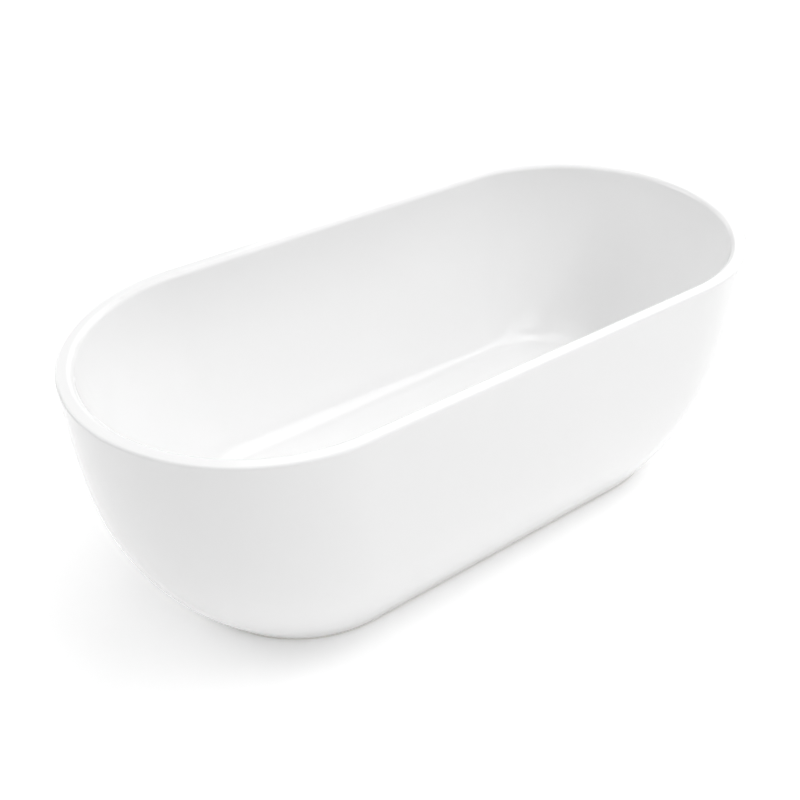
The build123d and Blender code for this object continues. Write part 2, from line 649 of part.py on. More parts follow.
with BuildPart() as trap_body:
    add(trap_pipe(PIPE_RADIUS))
    with Locations((0, 0, TRAP_TOP)):
        Cylinder(COLLAR_RADIUS, INLET_COLLAR, align=DOWNWARD)
    with Locations((OUTLET_X, 0, OUTLET_END)):
        Cylinder(SOCKET_RADIUS, SOCKET_LENGTH + SOCKET_SHOULDER, align=UPWARD)
        Cylinder(SOCKET_BORE, SOCKET_LENGTH, align=UPWARD, mode=Mode.SUBTRACT)
    add(trap_pipe(PIPE_BORE), mode=Mode.SUBTRACT)
finish(trap_body, "trap_body")

make_washer("trap_inlet_washer", TRAP_TOP, INLET_WASHER, NECK_BORE, COLLAR_RADIUS)

with BuildPart() as trap_inlet_nut:
    with BuildSketch(Plane.XY.offset(TRAP_TOP - UNION_DROP)):
        RegularPolygon(UNION_RADIUS, UNION_LOBES)
        Circle(PIPE_RADIUS + CLEAR, mode=Mode.SUBTRACT)
    extrude(amount=UNION_HEIGHT)
    with Locations((0, 0, TRAP_TOP - INLET_COLLAR - RUNNING)):
        Cylinder(THREAD_RADIUS + RUNNING, UNION_HEIGHT, align=UPWARD, mode=Mode.SUBTRACT)
finish(trap_inlet_nut, "trap_inlet_nut")

outlet_plane = Plane(origin=(OUTLET_X, 0, OUTLET_END), z_dir=(0, 0, -1), x_dir=(1, 0, 0))
with BuildPart() as trap_outlet_washer:
    with BuildSketch(outlet_plane):
        Circle(SOCKET_RADIUS)
        Circle(SOCKET_BORE, mode=Mode.SUBTRACT)
    extrude(amount=OUTLET_WASHER)
finish(trap_outlet_washer, "trap_outlet_washer")

with BuildPart() as trap_outlet_nut:
    with BuildSketch(outlet_plane.offset(OUTLET_WASHER + OUTLET_NUT_LIP)):
        RegularPolygon(UNION_RADIUS, UNION_LOBES)
        Circle(SOCKET_BORE, mode=Mode.SUBTRACT)
    extrude(amount=-OUTLET_NUT_LENGTH)
    with BuildSketch(outlet_plane.offset(OUTLET_WASHER)):
        Circle(SOCKET_RADIUS + RUNNING)
    extrude(amount=-OUTLET_NUT_LENGTH, mode=Mode.SUBTRACT)
finish(trap_outlet_nut, "trap_outlet_nut")

# ---- overflow ----------------------------------------------------------------------------------------------
with BuildPart() as overflow_cover:
    with BuildSketch(overflow_plane.offset(COVER_DEPTH - COVER_PLATE)):
        Circle(COVER_RADIUS)
    extrude(amount=COVER_PLATE)
    fillet(overflow_cover.edges().group_by(overflow_axis)[-1], COVER_EDGE)
    with BuildSketch(overflow_plane.offset(COVER_GAP)):
        Circle(COVER_RADIUS)
        Circle(COVER_RADIUS - COVER_PLATE, mode=Mode.SUBTRACT)
        with PolarLocations(COVER_RADIUS, COVER_SLOTS, 90 - COVER_SLOT_ARC / 2, COVER_SLOT_ARC):
            Rectangle(COVER_SLOT_CUT, COVER_SLOT_WIDTH, mode=Mode.SUBTRACT)
    extrude(amount=COVER_DEPTH - COVER_PLATE - COVER_GAP)
    with BuildSketch(overflow_plane.offset(COVER_DEPTH)):
        Circle(OVERFLOW_SCREW_RADIUS + RUNNING)
    extrude(amount=-COVER_DEPTH, mode=Mode.SUBTRACT)
finish(overflow_cover, "overflow_cover")

with BuildPart() as overflow_gasket:
    with BuildSketch(overflow_plane.offset(-GASKET_BACK)):
        Circle(OVERFLOW_RADIUS)
        Circle(OVERFLOW_HOLE + 1, mode=Mode.SUBTRACT)
    extrude(amount=GASKET)
finish(overflow_gasket, "overflow_gasket")

with BuildPart() as overflow_body:
    with BuildSketch(overflow_plane.offset(-GASKET_BACK)):
        Circle(OVERFLOW_RADIUS)
    extrude(amount=-OVERFLOW_DEPTH)
    with Locations((0, SPIGOT_Y, SPIGOT_BOTTOM)):
        Cylinder(SPIGOT_RADIUS, SPIGOT_TOP - SPIGOT_BOTTOM, align=UPWARD)
        Cylinder(SPIGOT_BORE, SPIGOT_TOP - SPIGOT_BOTTOM, align=UPWARD, mode=Mode.SUBTRACT)
    with BuildSketch(overflow_plane.offset(-GASKET_BACK)):
        Circle(OVERFLOW_RADIUS - OVERFLOW_WALL)
        Circle(SCREW_BOSS, mode=Mode.SUBTRACT)
    extrude(amount=-OVERFLOW_DEPTH + OVERFLOW_WALL, mode=Mode.SUBTRACT)
    with BuildSketch(overflow_plane.offset(-GASKET_BACK)):
        Circle(OVERFLOW_SCREW_RADIUS + RUNNING)
    extrude(amount=-OVERFLOW_DEPTH + 2 * OVERFLOW_WALL, mode=Mode.SUBTRACT)
finish(overflow_body, "overflow_body")

with BuildPart() as overflow_screw:
    with BuildSketch(overflow_plane.offset(COVER_DEPTH)):
        Circle(OVERFLOW_SCREW_RADIUS)
    extrude(amount=-COVER_DEPTH - GASKET_BACK - OVERFLOW_DEPTH / 2)
    with BuildSketch(overflow_plane.offset(COVER_DEPTH)):
        Circle(2 * OVERFLOW_SCREW_RADIUS)
    extrude(amount=OVERFLOW_SCREW_HEAD)
    fillet(overflow_screw.edges().group_by(overflow_axis)[-1], OVERFLOW_SCREW_EDGE)
finish(overflow_screw, "overflow_screw")

# ---- flexible overflow hose, from the overflow's spigot down under the rail to the tee's branch ------------
hose_route = [
    (0, BRANCH_END_Y - 1, BRANCH_Z),
    (0, -100, BRANCH_Z),
    (0, -140, HOSE_LOW_Z),
    (0, -195, HOSE_LOW_Z),
    (0, -300, 145),
    (0, -350, 290),
    (0, SPIGOT_Y, 400),
    (0, SPIGOT_Y, HOSE_TOP),
]
with BuildPart() as overflow_hose:
    with BuildLine() as route:
        FilletPolyline(*hose_route, radius=HOSE_BENDS)
    with BuildSketch(Plane(origin=route.line @ 0, z_dir=route.line % 0)):
        Circle(HOSE_RADIUS)
        Circle(HOSE_BORE, mode=Mode.SUBTRACT)
    sweep(path=route.line)
finish(overflow_hose, "overflow_hose")

# ---- worm-drive clips at the hose's ends -------------------------------------------------------------------
def make_hose_clip(name, plane):
    """A steel band round the hose with its screw housing, centred on the given plane."""
    with BuildPart() as clip:
        with BuildSketch(plane.offset(-CLIP_WIDTH / 2)):
            Circle(HOSE_RADIUS + RUNNING + CLIP_BAND)
            with Locations((0, HOSE_RADIUS + CLIP_HOUSING_OUT)):
                Rectangle(*CLIP_HOUSING)
            Circle(HOSE_RADIUS + RUNNING, mode=Mode.SUBTRACT)
        extrude(amount=CLIP_WIDTH)
        screw_end = plane.from_local_coords((CLIP_HOUSING[0] / 2, HOSE_RADIUS + CLIP_SCREW_OUT, 0))
        with BuildSketch(Plane(origin=screw_end, z_dir=plane.x_dir)):
            Circle(CLIP_SCREW_RADIUS)
        extrude(amount=CLIP_SCREW_HEAD)
    finish(clip, name)


bottom_clip_place = (0, BRANCH_END_Y - CLIP_FROM_HOSE_END - 2, BRANCH_Z)
top_clip_place = (0, SPIGOT_Y, HOSE_TOP - CLIP_FROM_HOSE_END)
make_hose_clip("hose_clip_bottom", Plane(origin=bottom_clip_place, z_dir=(0, -1, 0), x_dir=(-1, 0, 0)))
make_hose_clip("hose_clip_top", Plane(origin=top_clip_place, z_dir=(0, 0, 1), x_dir=(0, 1, 0)))
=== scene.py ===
# %% [markdown]
# # A freestanding bath, piece by piece
#
# The bath is two acrylic skins: a basin that rolls over at the rim, and a skirt shell that tapers down to
# the floor. Everything that holds it up and drains it is underneath. The frame gives every piece its place,
# so the lesson starts by loading it. All sizes below are in metres, in the frame's own axes: +X along the
# bath, +Z up, and the overflow on the -Y side.

# %% Load the frame
import json
import math

import bmesh
import bpy
from mathutils import Matrix, Vector


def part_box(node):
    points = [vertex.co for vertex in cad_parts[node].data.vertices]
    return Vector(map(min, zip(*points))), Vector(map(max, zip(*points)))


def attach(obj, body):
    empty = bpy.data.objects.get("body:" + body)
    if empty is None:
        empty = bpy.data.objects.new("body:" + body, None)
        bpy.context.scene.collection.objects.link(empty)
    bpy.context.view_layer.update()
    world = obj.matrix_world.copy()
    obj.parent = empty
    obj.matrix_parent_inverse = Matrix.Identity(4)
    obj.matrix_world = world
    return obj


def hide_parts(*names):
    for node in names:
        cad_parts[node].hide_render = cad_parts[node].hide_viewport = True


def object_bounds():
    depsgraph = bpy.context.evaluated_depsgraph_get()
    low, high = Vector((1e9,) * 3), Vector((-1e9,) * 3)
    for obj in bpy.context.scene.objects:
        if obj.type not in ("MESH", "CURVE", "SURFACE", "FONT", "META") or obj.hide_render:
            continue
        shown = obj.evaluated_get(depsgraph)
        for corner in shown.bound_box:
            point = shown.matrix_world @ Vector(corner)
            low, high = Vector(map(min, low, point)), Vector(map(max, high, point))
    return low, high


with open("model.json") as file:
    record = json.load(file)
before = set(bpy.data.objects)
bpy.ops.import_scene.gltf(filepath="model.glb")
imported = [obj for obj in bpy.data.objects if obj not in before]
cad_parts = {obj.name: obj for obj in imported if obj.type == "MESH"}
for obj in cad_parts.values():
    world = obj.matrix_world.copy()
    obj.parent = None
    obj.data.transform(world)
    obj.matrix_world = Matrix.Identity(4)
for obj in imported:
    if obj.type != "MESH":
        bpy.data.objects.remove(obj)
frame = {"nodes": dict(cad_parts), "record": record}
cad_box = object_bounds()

scene = bpy.context.scene
nodes = frame["nodes"]
MM = 0.001

# %% [markdown]
# ## Node maths that reads as arithmetic
#
# Geometry Nodes and shader nodes share the same Math node. A small class wraps one output socket and turns
# +, -, * and / into Math nodes, so a formula in the script looks like the formula on paper.


# %% The Wire and Board classes
class Wire:
    """One output socket, with arithmetic that adds Math nodes."""

    def __init__(self, board, socket):
        self.board = board
        self.socket = socket

    def maths(self, operation, *others, swap=False):
        terms = [self, *others]
        if swap:
            terms.reverse()
        return self.board.node("ShaderNodeMath", {"operation": operation}, dict(enumerate(terms)))

    def __add__(self, other):
        return self.maths("ADD", other)

    def __sub__(self, other):
        return self.maths("SUBTRACT", other)

    def __rsub__(self, other):
        return self.maths("SUBTRACT", other, swap=True)

    def __mul__(self, other):
        return self.maths("MULTIPLY", other)

    def __truediv__(self, other):
        return self.maths("DIVIDE", other)

    def above(self, other):
        return self.maths("GREATER_THAN", other)

    def below(self, other):
        return self.maths("LESS_THAN", other)

    def sin(self):
        return self.maths("SINE")

    def cos(self):
        return self.maths("COSINE")

    def fraction(self):
        return self.maths("FRACT")

    def nearest(self):
        return self.maths("ROUND")

    def clamp(self):
        return self.board.node("ShaderNodeClamp", {}, {0: self})

    def size(self):
        return self.maths("ABSOLUTE")

    __radd__ = __add__
    __rmul__ = __mul__


class Board:
    """A node tree that is filled by calls to node()."""

    def __init__(self, tree):
        self.tree = tree

    def node(self, kind, settings=None, sockets=None, out=0):
        """Add a node, set its settings, then fill its sockets with values or links."""
        made = self.tree.nodes.new(kind)
        for name, value in (settings or {}).items():
            if name == "stops":
                self.paint_ramp(made.color_ramp, value)
            else:
                setattr(made, name, value)
        for key, value in (sockets or {}).items():
            if isinstance(value, Wire):
                self.tree.links.new(value.socket, made.inputs[key])
            else:
                made.inputs[key].default_value = value
        return Wire(self, made.outputs[out])

    @staticmethod
    def paint_ramp(ramp, stops):
        """Give a colour ramp its (position, colour) stops."""
        while len(ramp.elements) > 1:
            ramp.elements.remove(ramp.elements[-1])
        for position, colour in stops:
            element = ramp.elements[0] if position == stops[0][0] else ramp.elements.new(position)
            element.position = position
            element.color = (*colour, 1) if len(colour) == 3 else colour

    def pin(self, wire, number):
        """Another output of the node that a wire comes from."""
        return Wire(self, wire.socket.node.outputs[number])


# %% [markdown]
# ## Growing a mesh from a Geometry Nodes tree
#
# A repeated or rule-made shape could be modelled by hand, or by loops over vertices. A node tree says the
# rule once and leaves its sizes as named inputs, so it is the way used here. Each tree is built in the
# script and evaluated once. What comes out is copied to a plain mesh, so nothing procedural is left on the
# finished piece.


# %% Tree and mesh helpers
SOCKET_KINDS = {float: "NodeSocketFloat", int: "NodeSocketInt", bpy.types.Material: "NodeSocketMaterial"}


def new_tree(name, inputs):
    """An empty Geometry Nodes tree with named inputs; returns its board and a wire for each input."""
    tree = bpy.data.node_groups.new(name, "GeometryNodeTree")
    tree.interface.new_socket("Geometry", in_out="INPUT", socket_type="NodeSocketGeometry")
    for title, value in inputs.items():
        item = tree.interface.new_socket(title, in_out="INPUT", socket_type=SOCKET_KINDS[type(value)])
        item.default_value = value
    tree.interface.new_socket("Geometry", in_out="OUTPUT", socket_type="NodeSocketGeometry")
    board = Board(tree)
    source = tree.nodes.new("NodeGroupInput")
    wires = {s.name: Wire(board, s) for s in source.outputs if s.name}
    return board, wires


def shade(board, geometry, smooth_angle=35):
    """Smooth shading that keeps the corners sharper than the angle."""
    corner = board.node("GeometryNodeInputMeshEdgeAngle").below(math.radians(smooth_angle))
    smooth = board.node("GeometryNodeSetShadeSmooth", {"domain": "FACE"}, {"Geometry": geometry})
    return board.node("GeometryNodeSetShadeSmooth", {"domain": "EDGE"},
                      {"Geometry": smooth, "Shade Smooth": corner})


def coat(board, geometry, finish, chosen=True):
    """Give the chosen faces a finish."""
    return board.node("GeometryNodeSetMaterial", {}, {
        "Geometry": geometry, "Material": finish, "Selection": chosen})


def close_tree(board, geometry, finish):
    """Make instances real, coat the result, and lead it to the tree's output."""
    realized = board.node("GeometryNodeRealizeInstances", {}, {0: geometry})
    sink = board.tree.nodes.new("NodeGroupOutput")
    board.tree.links.new(coat(board, realized, finish).socket, sink.inputs[0])


def face_outwards(mesh):
    """Turn a closed mesh the right way round, and return its volume."""
    shape = bmesh.new()
    shape.from_mesh(mesh)
    volume = shape.calc_volume(signed=True)
    if volume < 0:
        bmesh.ops.reverse_faces(shape, faces=shape.faces)
        shape.to_mesh(mesh)
    shape.free()
    return abs(volume)


def grow(name, board, sizes, points=(), curve=None):
    """Run a tree on a line of points or on a curve, and return its result as a plain mesh object."""
    if curve is None:
        curve = bpy.data.meshes.new(name + "_seed")
        curve.from_pydata(points, [(i, i + 1) for i in range(len(points) - 1)], [])
    worker = bpy.data.objects.new(name + "_worker", curve)
    scene.collection.objects.link(worker)
    modifier = worker.modifiers.new("grow", "NODES")
    modifier.node_group = board.tree
    for item in board.tree.interface.items_tree:
        if item.in_out == "INPUT" and item.name in sizes:
            modifier[item.identifier] = sizes[item.name]
    bpy.context.view_layer.update()
    ready = worker.evaluated_get(bpy.context.evaluated_depsgraph_get())
    mesh = bpy.data.meshes.new_from_object(ready)
    bpy.data.objects.remove(worker)
    mesh.name = name
    for index in reversed(range(len(mesh.materials))):
        if mesh.materials[index] is None:
            mesh.materials.pop(index=index)
    volume = face_outwards(mesh)
    piece = bpy.data.objects.new(name, mesh)
    scene.collection.objects.link(piece)
    print(name, "faces", len(mesh.polygons), "litres", round(volume * 1000, 3))
    return piece


# %% [markdown]
# ## Finishes
#
# Each finish is one function that returns a material. Patterns are laid out on Object coordinates, which
# are the frame's metres, so a grain of two millimetres is written as two millimetres.


# %% A material with its shader
def new_finish(name, **constants):
    """A material with a Principled shader whose even values are set on its own sockets."""
    material = bpy.data.materials.new(name)
    material.use_nodes = True
    board = Board(material.node_tree)
    shader = material.node_tree.nodes["Principled BSDF"]
    for title, value in constants.items():
        shader.inputs[title.replace("_", " ")].default_value = value
    return material, board, shader


def lead(board, wire, shader, title):
    """Link a wire to a shader's socket."""
    board.tree.links.new(wire.socket, shader.inputs[title])


def place(board):
    """Object coordinates, in metres."""
    return board.node("ShaderNodeTexCoord", out=3)


def noise(board, scale, detail=3.0, roughness=0.5, where=None):
    """Cloudy noise between 0 and 1; scale is in cycles a metre."""
    return board.node("ShaderNodeTexNoise", {}, {
        "Vector": where or place(board), "Scale": scale, "Detail": detail, "Roughness": roughness})


def bump(board, height, strength, depth):
    """A Bump node's normal from a height between 0 and 1 that is depth metres tall."""
    return board.node("ShaderNodeBump", {}, {"Height": height, "Strength": strength, "Distance": depth})


def blend_colour(board, factor, low, high):
    """A colour between two others; a Mix node keeps its colours in sockets 6 and 7, and its result in 2."""
    return board.node("ShaderNodeMix", {"data_type": "RGBA"}, {
        0: factor, 6: (*low, 1), 7: (*high, 1)}, out=2)


# %% [markdown]
# The skins' outside is cast acrylic sheet, drawn by vacuum into a mould. Plain white would look like paper.
# A very slight change of tone and gloss, and a ripple a few centimetres long, are what the eye reads as
# acrylic.


# %% Acrylic
def acrylic_finish():
    """Cast white acrylic: polished, with the faint ripple of a vacuum-formed sheet."""
    material, board, shader = new_finish("white_acrylic", Roughness=0.12, IOR=1.49)
    tone = noise(board, 3.0, detail=2.0)
    colour = blend_colour(board, tone, (0.885, 0.885, 0.885), (0.9, 0.9, 0.9))
    lead(board, colour, shader, "Base Color")
    haze = noise(board, 14.0, detail=4.0)
    lead(board, haze * 0.05 + 0.10, shader, "Roughness")
    ripple = noise(board, 7.0, detail=1.0)
    lead(board, bump(board, ripple, strength=0.25, depth=0.0006), shader, "Normal")
    return material


# %% [markdown]
# The hidden side of both skins is glass fibre mat soaked in resin. Its strands lie in every direction.
# Strands of real geometry would be far too many, so two stretched noises that lie at different angles stand
# for them, and they show in colour, in gloss and in relief.


# %% Laminate
def strands(board, turn, fineness=90.0, stretch=9.0):
    """Noise drawn out into threads that lie at an angle."""
    where = board.node("ShaderNodeMapping", {}, {
        "Vector": place(board), "Rotation": (turn, turn * 0.7, turn * 1.9), "Scale": (1, stretch, stretch)})
    return noise(board, fineness, detail=4.0, roughness=0.6, where=where)


def laminate_finish():
    """Chopped strand mat in polyester resin, straw white, rough and a little shiny."""
    material, board, shader = new_finish("glass_fibre_laminate", IOR=1.52)
    mat = strands(board, 0.4) * 0.5 + strands(board, 1.7) * 0.5
    ramp = board.node("ShaderNodeValToRGB", {"stops": (
        (0.35, (0.50, 0.47, 0.36)), (0.5, (0.66, 0.64, 0.53)), (0.65, (0.80, 0.79, 0.71)))}, {0: mat})
    lead(board, ramp, shader, "Base Color")
    lead(board, mat * 0.5 + 0.2, shader, "Roughness")
    lead(board, bump(board, mat, strength=0.9, depth=0.0012), shader, "Normal")
    return material


# %% [markdown]
# The base board is chipboard: flakes of a few millimetres, each of its own brown, under a thin coat of
# resin. Voronoi cells are the flakes. The blocks behind the skirt are sawn softwood, so their rings run
# along them.


# %% Chipboard and softwood
def chipboard_finish():
    """Pressed wood flakes under a thin resin coat."""
    material, board, shader = new_finish("chipboard", Coat_Roughness=0.25, Coat_IOR=1.5)
    where = board.node("ShaderNodeMapping", {}, {"Vector": place(board), "Scale": (1.0, 1.8, 4.0)})
    flake = board.node("ShaderNodeTexVoronoi", {}, {"Vector": where, "Scale": 210.0}, out=1)
    tone = board.node("ShaderNodeSeparateColor", {}, {0: flake})
    ramp = board.node("ShaderNodeValToRGB", {"stops": (
        (0.0, (0.22, 0.13, 0.06)), (0.35, (0.42, 0.28, 0.15)), (0.7, (0.58, 0.42, 0.25)),
        (1.0, (0.70, 0.56, 0.38)))}, {0: tone})
    lead(board, ramp, shader, "Base Color")
    lead(board, tone * 0.25 + 0.45, shader, "Roughness")
    lead(board, noise(board, 6.0) * 0.5, shader, "Coat Weight")
    lead(board, bump(board, tone, strength=0.5, depth=0.0003), shader, "Normal")
    return material


def softwood_finish():
    """Sawn pine with its growth rings drawn out along X."""
    material, board, shader = new_finish("sawn_softwood")
    where = board.node("ShaderNodeMapping", {}, {"Vector": place(board), "Scale": (0.08, 1.0, 1.0)})
    ring = board.node("ShaderNodeTexWave", {"wave_type": "RINGS", "rings_direction": "X"}, {
        "Vector": where, "Scale": 70.0, "Distortion": 3.0, "Detail": 3.0, "Detail Scale": 2.0}, out=1)
    ramp = board.node("ShaderNodeValToRGB", {"stops": (
        (0.0, (0.78, 0.61, 0.39)), (0.7, (0.68, 0.48, 0.27)), (1.0, (0.50, 0.31, 0.15)))}, {0: ring})
    fibre = strands(board, 0.0, 400.0, 12.0)
    lead(board, ramp, shader, "Base Color")
    lead(board, fibre * 0.3 + 0.55, shader, "Roughness")
    lead(board, bump(board, fibre, strength=0.6, depth=0.0004), shader, "Normal")
    return material


# %% [markdown]
# Hot-dip galvanised steel freezes in a pattern of crystals, the spangle, about a centimetre across. Each
# Voronoi cell gets its own grey and its own gloss. The turned brass parts keep fine rings from the lathe.


# %% Galvanised steel and brass
def galvanised_finish():
    """Zinc spangle on square steel tube."""
    material, board, shader = new_finish("galvanised_steel", Metallic=1.0)
    swirl = board.node("ShaderNodeTexNoise", {}, {"Vector": place(board), "Scale": 40.0}, out=1)
    where = board.node("ShaderNodeMix", {"data_type": "VECTOR"}, {
        0: 0.012, 4: place(board), 5: swirl}, out=1)
    cell = board.node("ShaderNodeTexVoronoi", {}, {"Vector": where, "Scale": 110.0}, out=1)
    tone = board.node("ShaderNodeSeparateColor", {}, {0: cell})
    lead(board, blend_colour(board, tone, (0.50, 0.52, 0.54), (0.74, 0.75, 0.76)), shader, "Base Color")
    lead(board, tone * 0.22 + 0.28 + noise(board, 30.0) * 0.1, shader, "Roughness")
    lead(board, bump(board, tone, strength=0.25, depth=0.0001), shader, "Normal")
    return material


def brass_finish():
    """Brass with the fine rings that a lathe leaves."""
    material, board, shader = new_finish("turned_brass", Metallic=1.0)
    ring = board.node("ShaderNodeTexWave", {"bands_direction": "Z"}, {
        "Vector": place(board), "Scale": 900.0, "Distortion": 0.4}, out=1)
    stain = noise(board, 120.0)
    lead(board, blend_colour(board, stain, (0.66, 0.48, 0.20), (0.86, 0.70, 0.38)), shader, "Base Color")
    lead(board, stain * 0.2 + 0.18, shader, "Roughness")
    lead(board, bump(board, ring, strength=0.3, depth=0.00004), shader, "Normal")
    return material


# %% [markdown]
# The other finishes could each be a function too, but they differ only in their numbers: two tones that
# cloud into each other, a range of gloss, and a fine grain. One function makes them all: chrome, zinc
# plate, rubber and the moulded plastics.


# %% Mottled finishes
def mottled_finish(name, dark, light, cloud, gloss, grain, metallic=0.0):
    """Two tones in clouds, a range of roughness, and a grain of (cycles a metre, depth)."""
    material, board, shader = new_finish(name, Metallic=metallic)
    tone = noise(board, cloud, detail=5.0)
    lead(board, blend_colour(board, tone, dark, light), shader, "Base Color")
    haze = noise(board, cloud * 3, detail=4.0)
    lead(board, haze * (gloss[1] - gloss[0]) + gloss[0], shader, "Roughness")
    grit = noise(board, grain[0], detail=2.0)
    lead(board, bump(board, grit, strength=0.6, depth=grain[1]), shader, "Normal")
    return material


# %% The finish of each material slot
finishes = {
    "acrylic": acrylic_finish(),
    "laminate": laminate_finish(),
    "board": chipboard_finish(),
    "block_wood": softwood_finish(),
    "galvanised_steel": galvanised_finish(),
    "brass": brass_finish(),
    "zinc_steel": mottled_finish(
        "zinc_plate", dark=(0.56, 0.58, 0.62), light=(0.74, 0.75, 0.77), cloud=160.0,
        gloss=(0.22, 0.42), grain=(1800.0, 0.00003), metallic=1.0),
    "chrome": mottled_finish(
        "polished_chrome", dark=(0.84, 0.85, 0.86), light=(0.90, 0.90, 0.91), cloud=25.0,
        gloss=(0.03, 0.10), grain=(60.0, 0.00001), metallic=1.0),
    "black_plastic": mottled_finish(
        "black_moulded_plastic", dark=(0.022, 0.022, 0.024), light=(0.045, 0.045, 0.047), cloud=90.0,
        gloss=(0.42, 0.60), grain=(2200.0, 0.00005)),
    "rubber": mottled_finish(
        "black_rubber", dark=(0.018, 0.018, 0.018), light=(0.050, 0.049, 0.047), cloud=200.0,
        gloss=(0.65, 0.85), grain=(900.0, 0.00006)),
    "white_plastic": mottled_finish(
        "white_moulded_plastic", dark=(0.74, 0.74, 0.71), light=(0.84, 0.84, 0.82), cloud=40.0,
        gloss=(0.30, 0.45), grain=(1500.0, 0.00003)),
    "hose_plastic": mottled_finish(
        "hose_plastic", dark=(0.58, 0.58, 0.56), light=(0.72, 0.72, 0.70), cloud=55.0,
        gloss=(0.38, 0.55), grain=(700.0, 0.00005)),
}
slot_of = {part["node"]: part["material_slot"] for part in frame["record"]["subparts"]}
for node_name, node_object in nodes.items():
    node_object.data.materials.clear()
    node_object.data.materials.append(finishes[slot_of[node_name]])
print("finishes", len(finishes), "on", len(nodes), "nodes")


def seat(piece, body, slot_name, *replaced):
    """Tell the frame what a piece rides on and the nodes that it stands for; the material slot argument is
    not used.
    """
    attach(piece, body)
    if replaced:
        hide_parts(*replaced)


# %% [markdown]
# ## The two skins
#
# Every level section of both skins is a stadium: two straight sides joined by half circles. A subdivided
# cage could give such a form, but its ends would not be true circles. So each level is given by three
# numbers instead: the end radius, half the straight length, and the height. The levels are a line of
# points, and one Geometry Nodes tree sweeps it round the stadium.

# %% The stadium tree
ARC_STEPS = 64
SIDE_STEPS = 24
WELD_DISTANCE = 0.00001        # points nearer than this become one


def stadium_tree():
    """Sweep a line of (radius, half straight, height) points round a stadium."""
    board, given = new_tree("stadium_sweep", {
        "Arc steps": ARC_STEPS, "Side steps": SIDE_STEPS, "First back row": 0,
        "Finish": finishes["acrylic"], "Back finish": finishes["laminate"]})
    arc, side = given["Arc steps"], given["Side steps"]
    round_steps = (arc + side) * 2
    rows = board.node("GeometryNodeAttributeDomainSize", {"component": "MESH"}, {0: given["Geometry"]})
    grid = board.node("GeometryNodeMeshGrid", {}, {
        "Size X": 1.0, "Size Y": 1.0, "Vertices X": round_steps + 1, "Vertices Y": rows})
    spot = board.node("GeometryNodeInputPosition")
    split = board.node("ShaderNodeSeparateXYZ", {}, {0: spot})
    along = ((split + 0.5) * round_steps).nearest()
    row = ((board.pin(split, 1) + 0.5) * (rows - 1)).nearest()
    level = board.node("GeometryNodeSampleIndex", {"data_type": "FLOAT_VECTOR", "domain": "POINT"}, {
        0: given["Geometry"], "Value": spot, "Index": row})
    level = board.node("ShaderNodeSeparateXYZ", {}, {0: level})
    radius, straight, height = level, board.pin(level, 1), board.pin(level, 2)
    first_arc = (along / arc).clamp()
    far_side = ((along - arc) / side).clamp()
    second_arc = ((along - arc - side) / arc).clamp()
    near_side = ((along - arc * 2 - side) / side).clamp()
    angle = (first_arc + second_arc - 0.5) * math.pi
    centre = 1 - far_side * 2 + near_side * 2
    target = board.node("ShaderNodeCombineXYZ", {}, {
        0: centre * straight + angle.cos() * radius, 1: angle.sin() * radius, 2: height})
    marked = board.node("GeometryNodeStoreNamedAttribute", {"data_type": "FLOAT", "domain": "FACE"}, {
        "Geometry": grid, "Name": "row", "Value": row})
    placed = board.node("GeometryNodeSetPosition", {}, {"Geometry": marked, "Position": target})
    merged = board.node("GeometryNodeMergeByDistance", {}, {"Geometry": placed, "Distance": WELD_DISTANCE})
    row_mark = board.node("GeometryNodeInputNamedAttribute", {"data_type": "FLOAT"}, {"Name": "row"})
    front = coat(board, shade(board, merged), given["Finish"])
    realized = board.node("GeometryNodeRealizeInstances", {}, {0: front})
    backed = coat(board, realized, given["Back finish"], row_mark.above(given["First back row"]))
    sink = board.tree.nodes.new("NodeGroupOutput")
    board.tree.links.new(backed.socket, sink.inputs[0])
    return board


stadium_board = stadium_tree()
print("stadium tree", len(stadium_board.tree.nodes), "nodes")

# %% [markdown]
# The frame's box gives the overall sizes, and the rim is a stadium that fills it. Two helpers serve both
# skins: one bends a wall as it rises, and one spaces the levels, closer together where the wall turns most.

# %% Sizes of the rim
length, width, height = (cad_box[1][i] - cad_box[0][i] for i in range(3))
rim_radius = width / 2
rim_straight = length / 2 - rim_radius
print("rim radius", round(rim_radius, 4), "half straight", round(rim_straight, 4))


# %% Levels of a wall
def swell(t, power, root):
    """Rise from 0 to 1 along a superellipse quarter."""
    return (1 - (1 - t) ** power) ** (1 / root)


def spread(low, high, count, power=1.0):
    """Evenly spaced values, or closer together near the low end when power is above 1."""
    return [low + (high - low) * (i / count) ** power for i in range(count + 1)]


# %% [markdown]
# The outer shell, or skirt, only hides the frame. It swells quickly above the floor and then rises almost
# upright, so its end radius and its straight part each follow a curve of their own. Its line of levels goes
# up the outside and down the inside, which gives the wall its thickness without a modifier.

# %% The outer shell
shell_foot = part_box("outer_shell")[0].z
shell_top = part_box("outer_shell")[1].z
SHELL_FOOT_RADIUS = 0.2844
SHELL_FOOT_STRAIGHT = 0.3721
SHELL_BELLY = (4.126, 0.817)   # how the end radius swells with height
SHELL_SWEEP = (1.565, 1.313)   # how the straight part grows with height
SHELL_WALL = 0.006
SHELL_LEVELS = 60
SHELL_CROWDING = 1.3           # above 1, the levels crowd together near the floor


def shell_level(z, inset=0.0):
    """The outer shell's radius, half straight length and height at one level."""
    t = max(0.0, z - shell_foot) / (height - shell_foot)
    radius = SHELL_FOOT_RADIUS + (rim_radius - SHELL_FOOT_RADIUS) * swell(t, *SHELL_BELLY)
    straight = SHELL_FOOT_STRAIGHT + (rim_straight - SHELL_FOOT_STRAIGHT) * swell(t, *SHELL_SWEEP)
    return radius - inset, straight, z


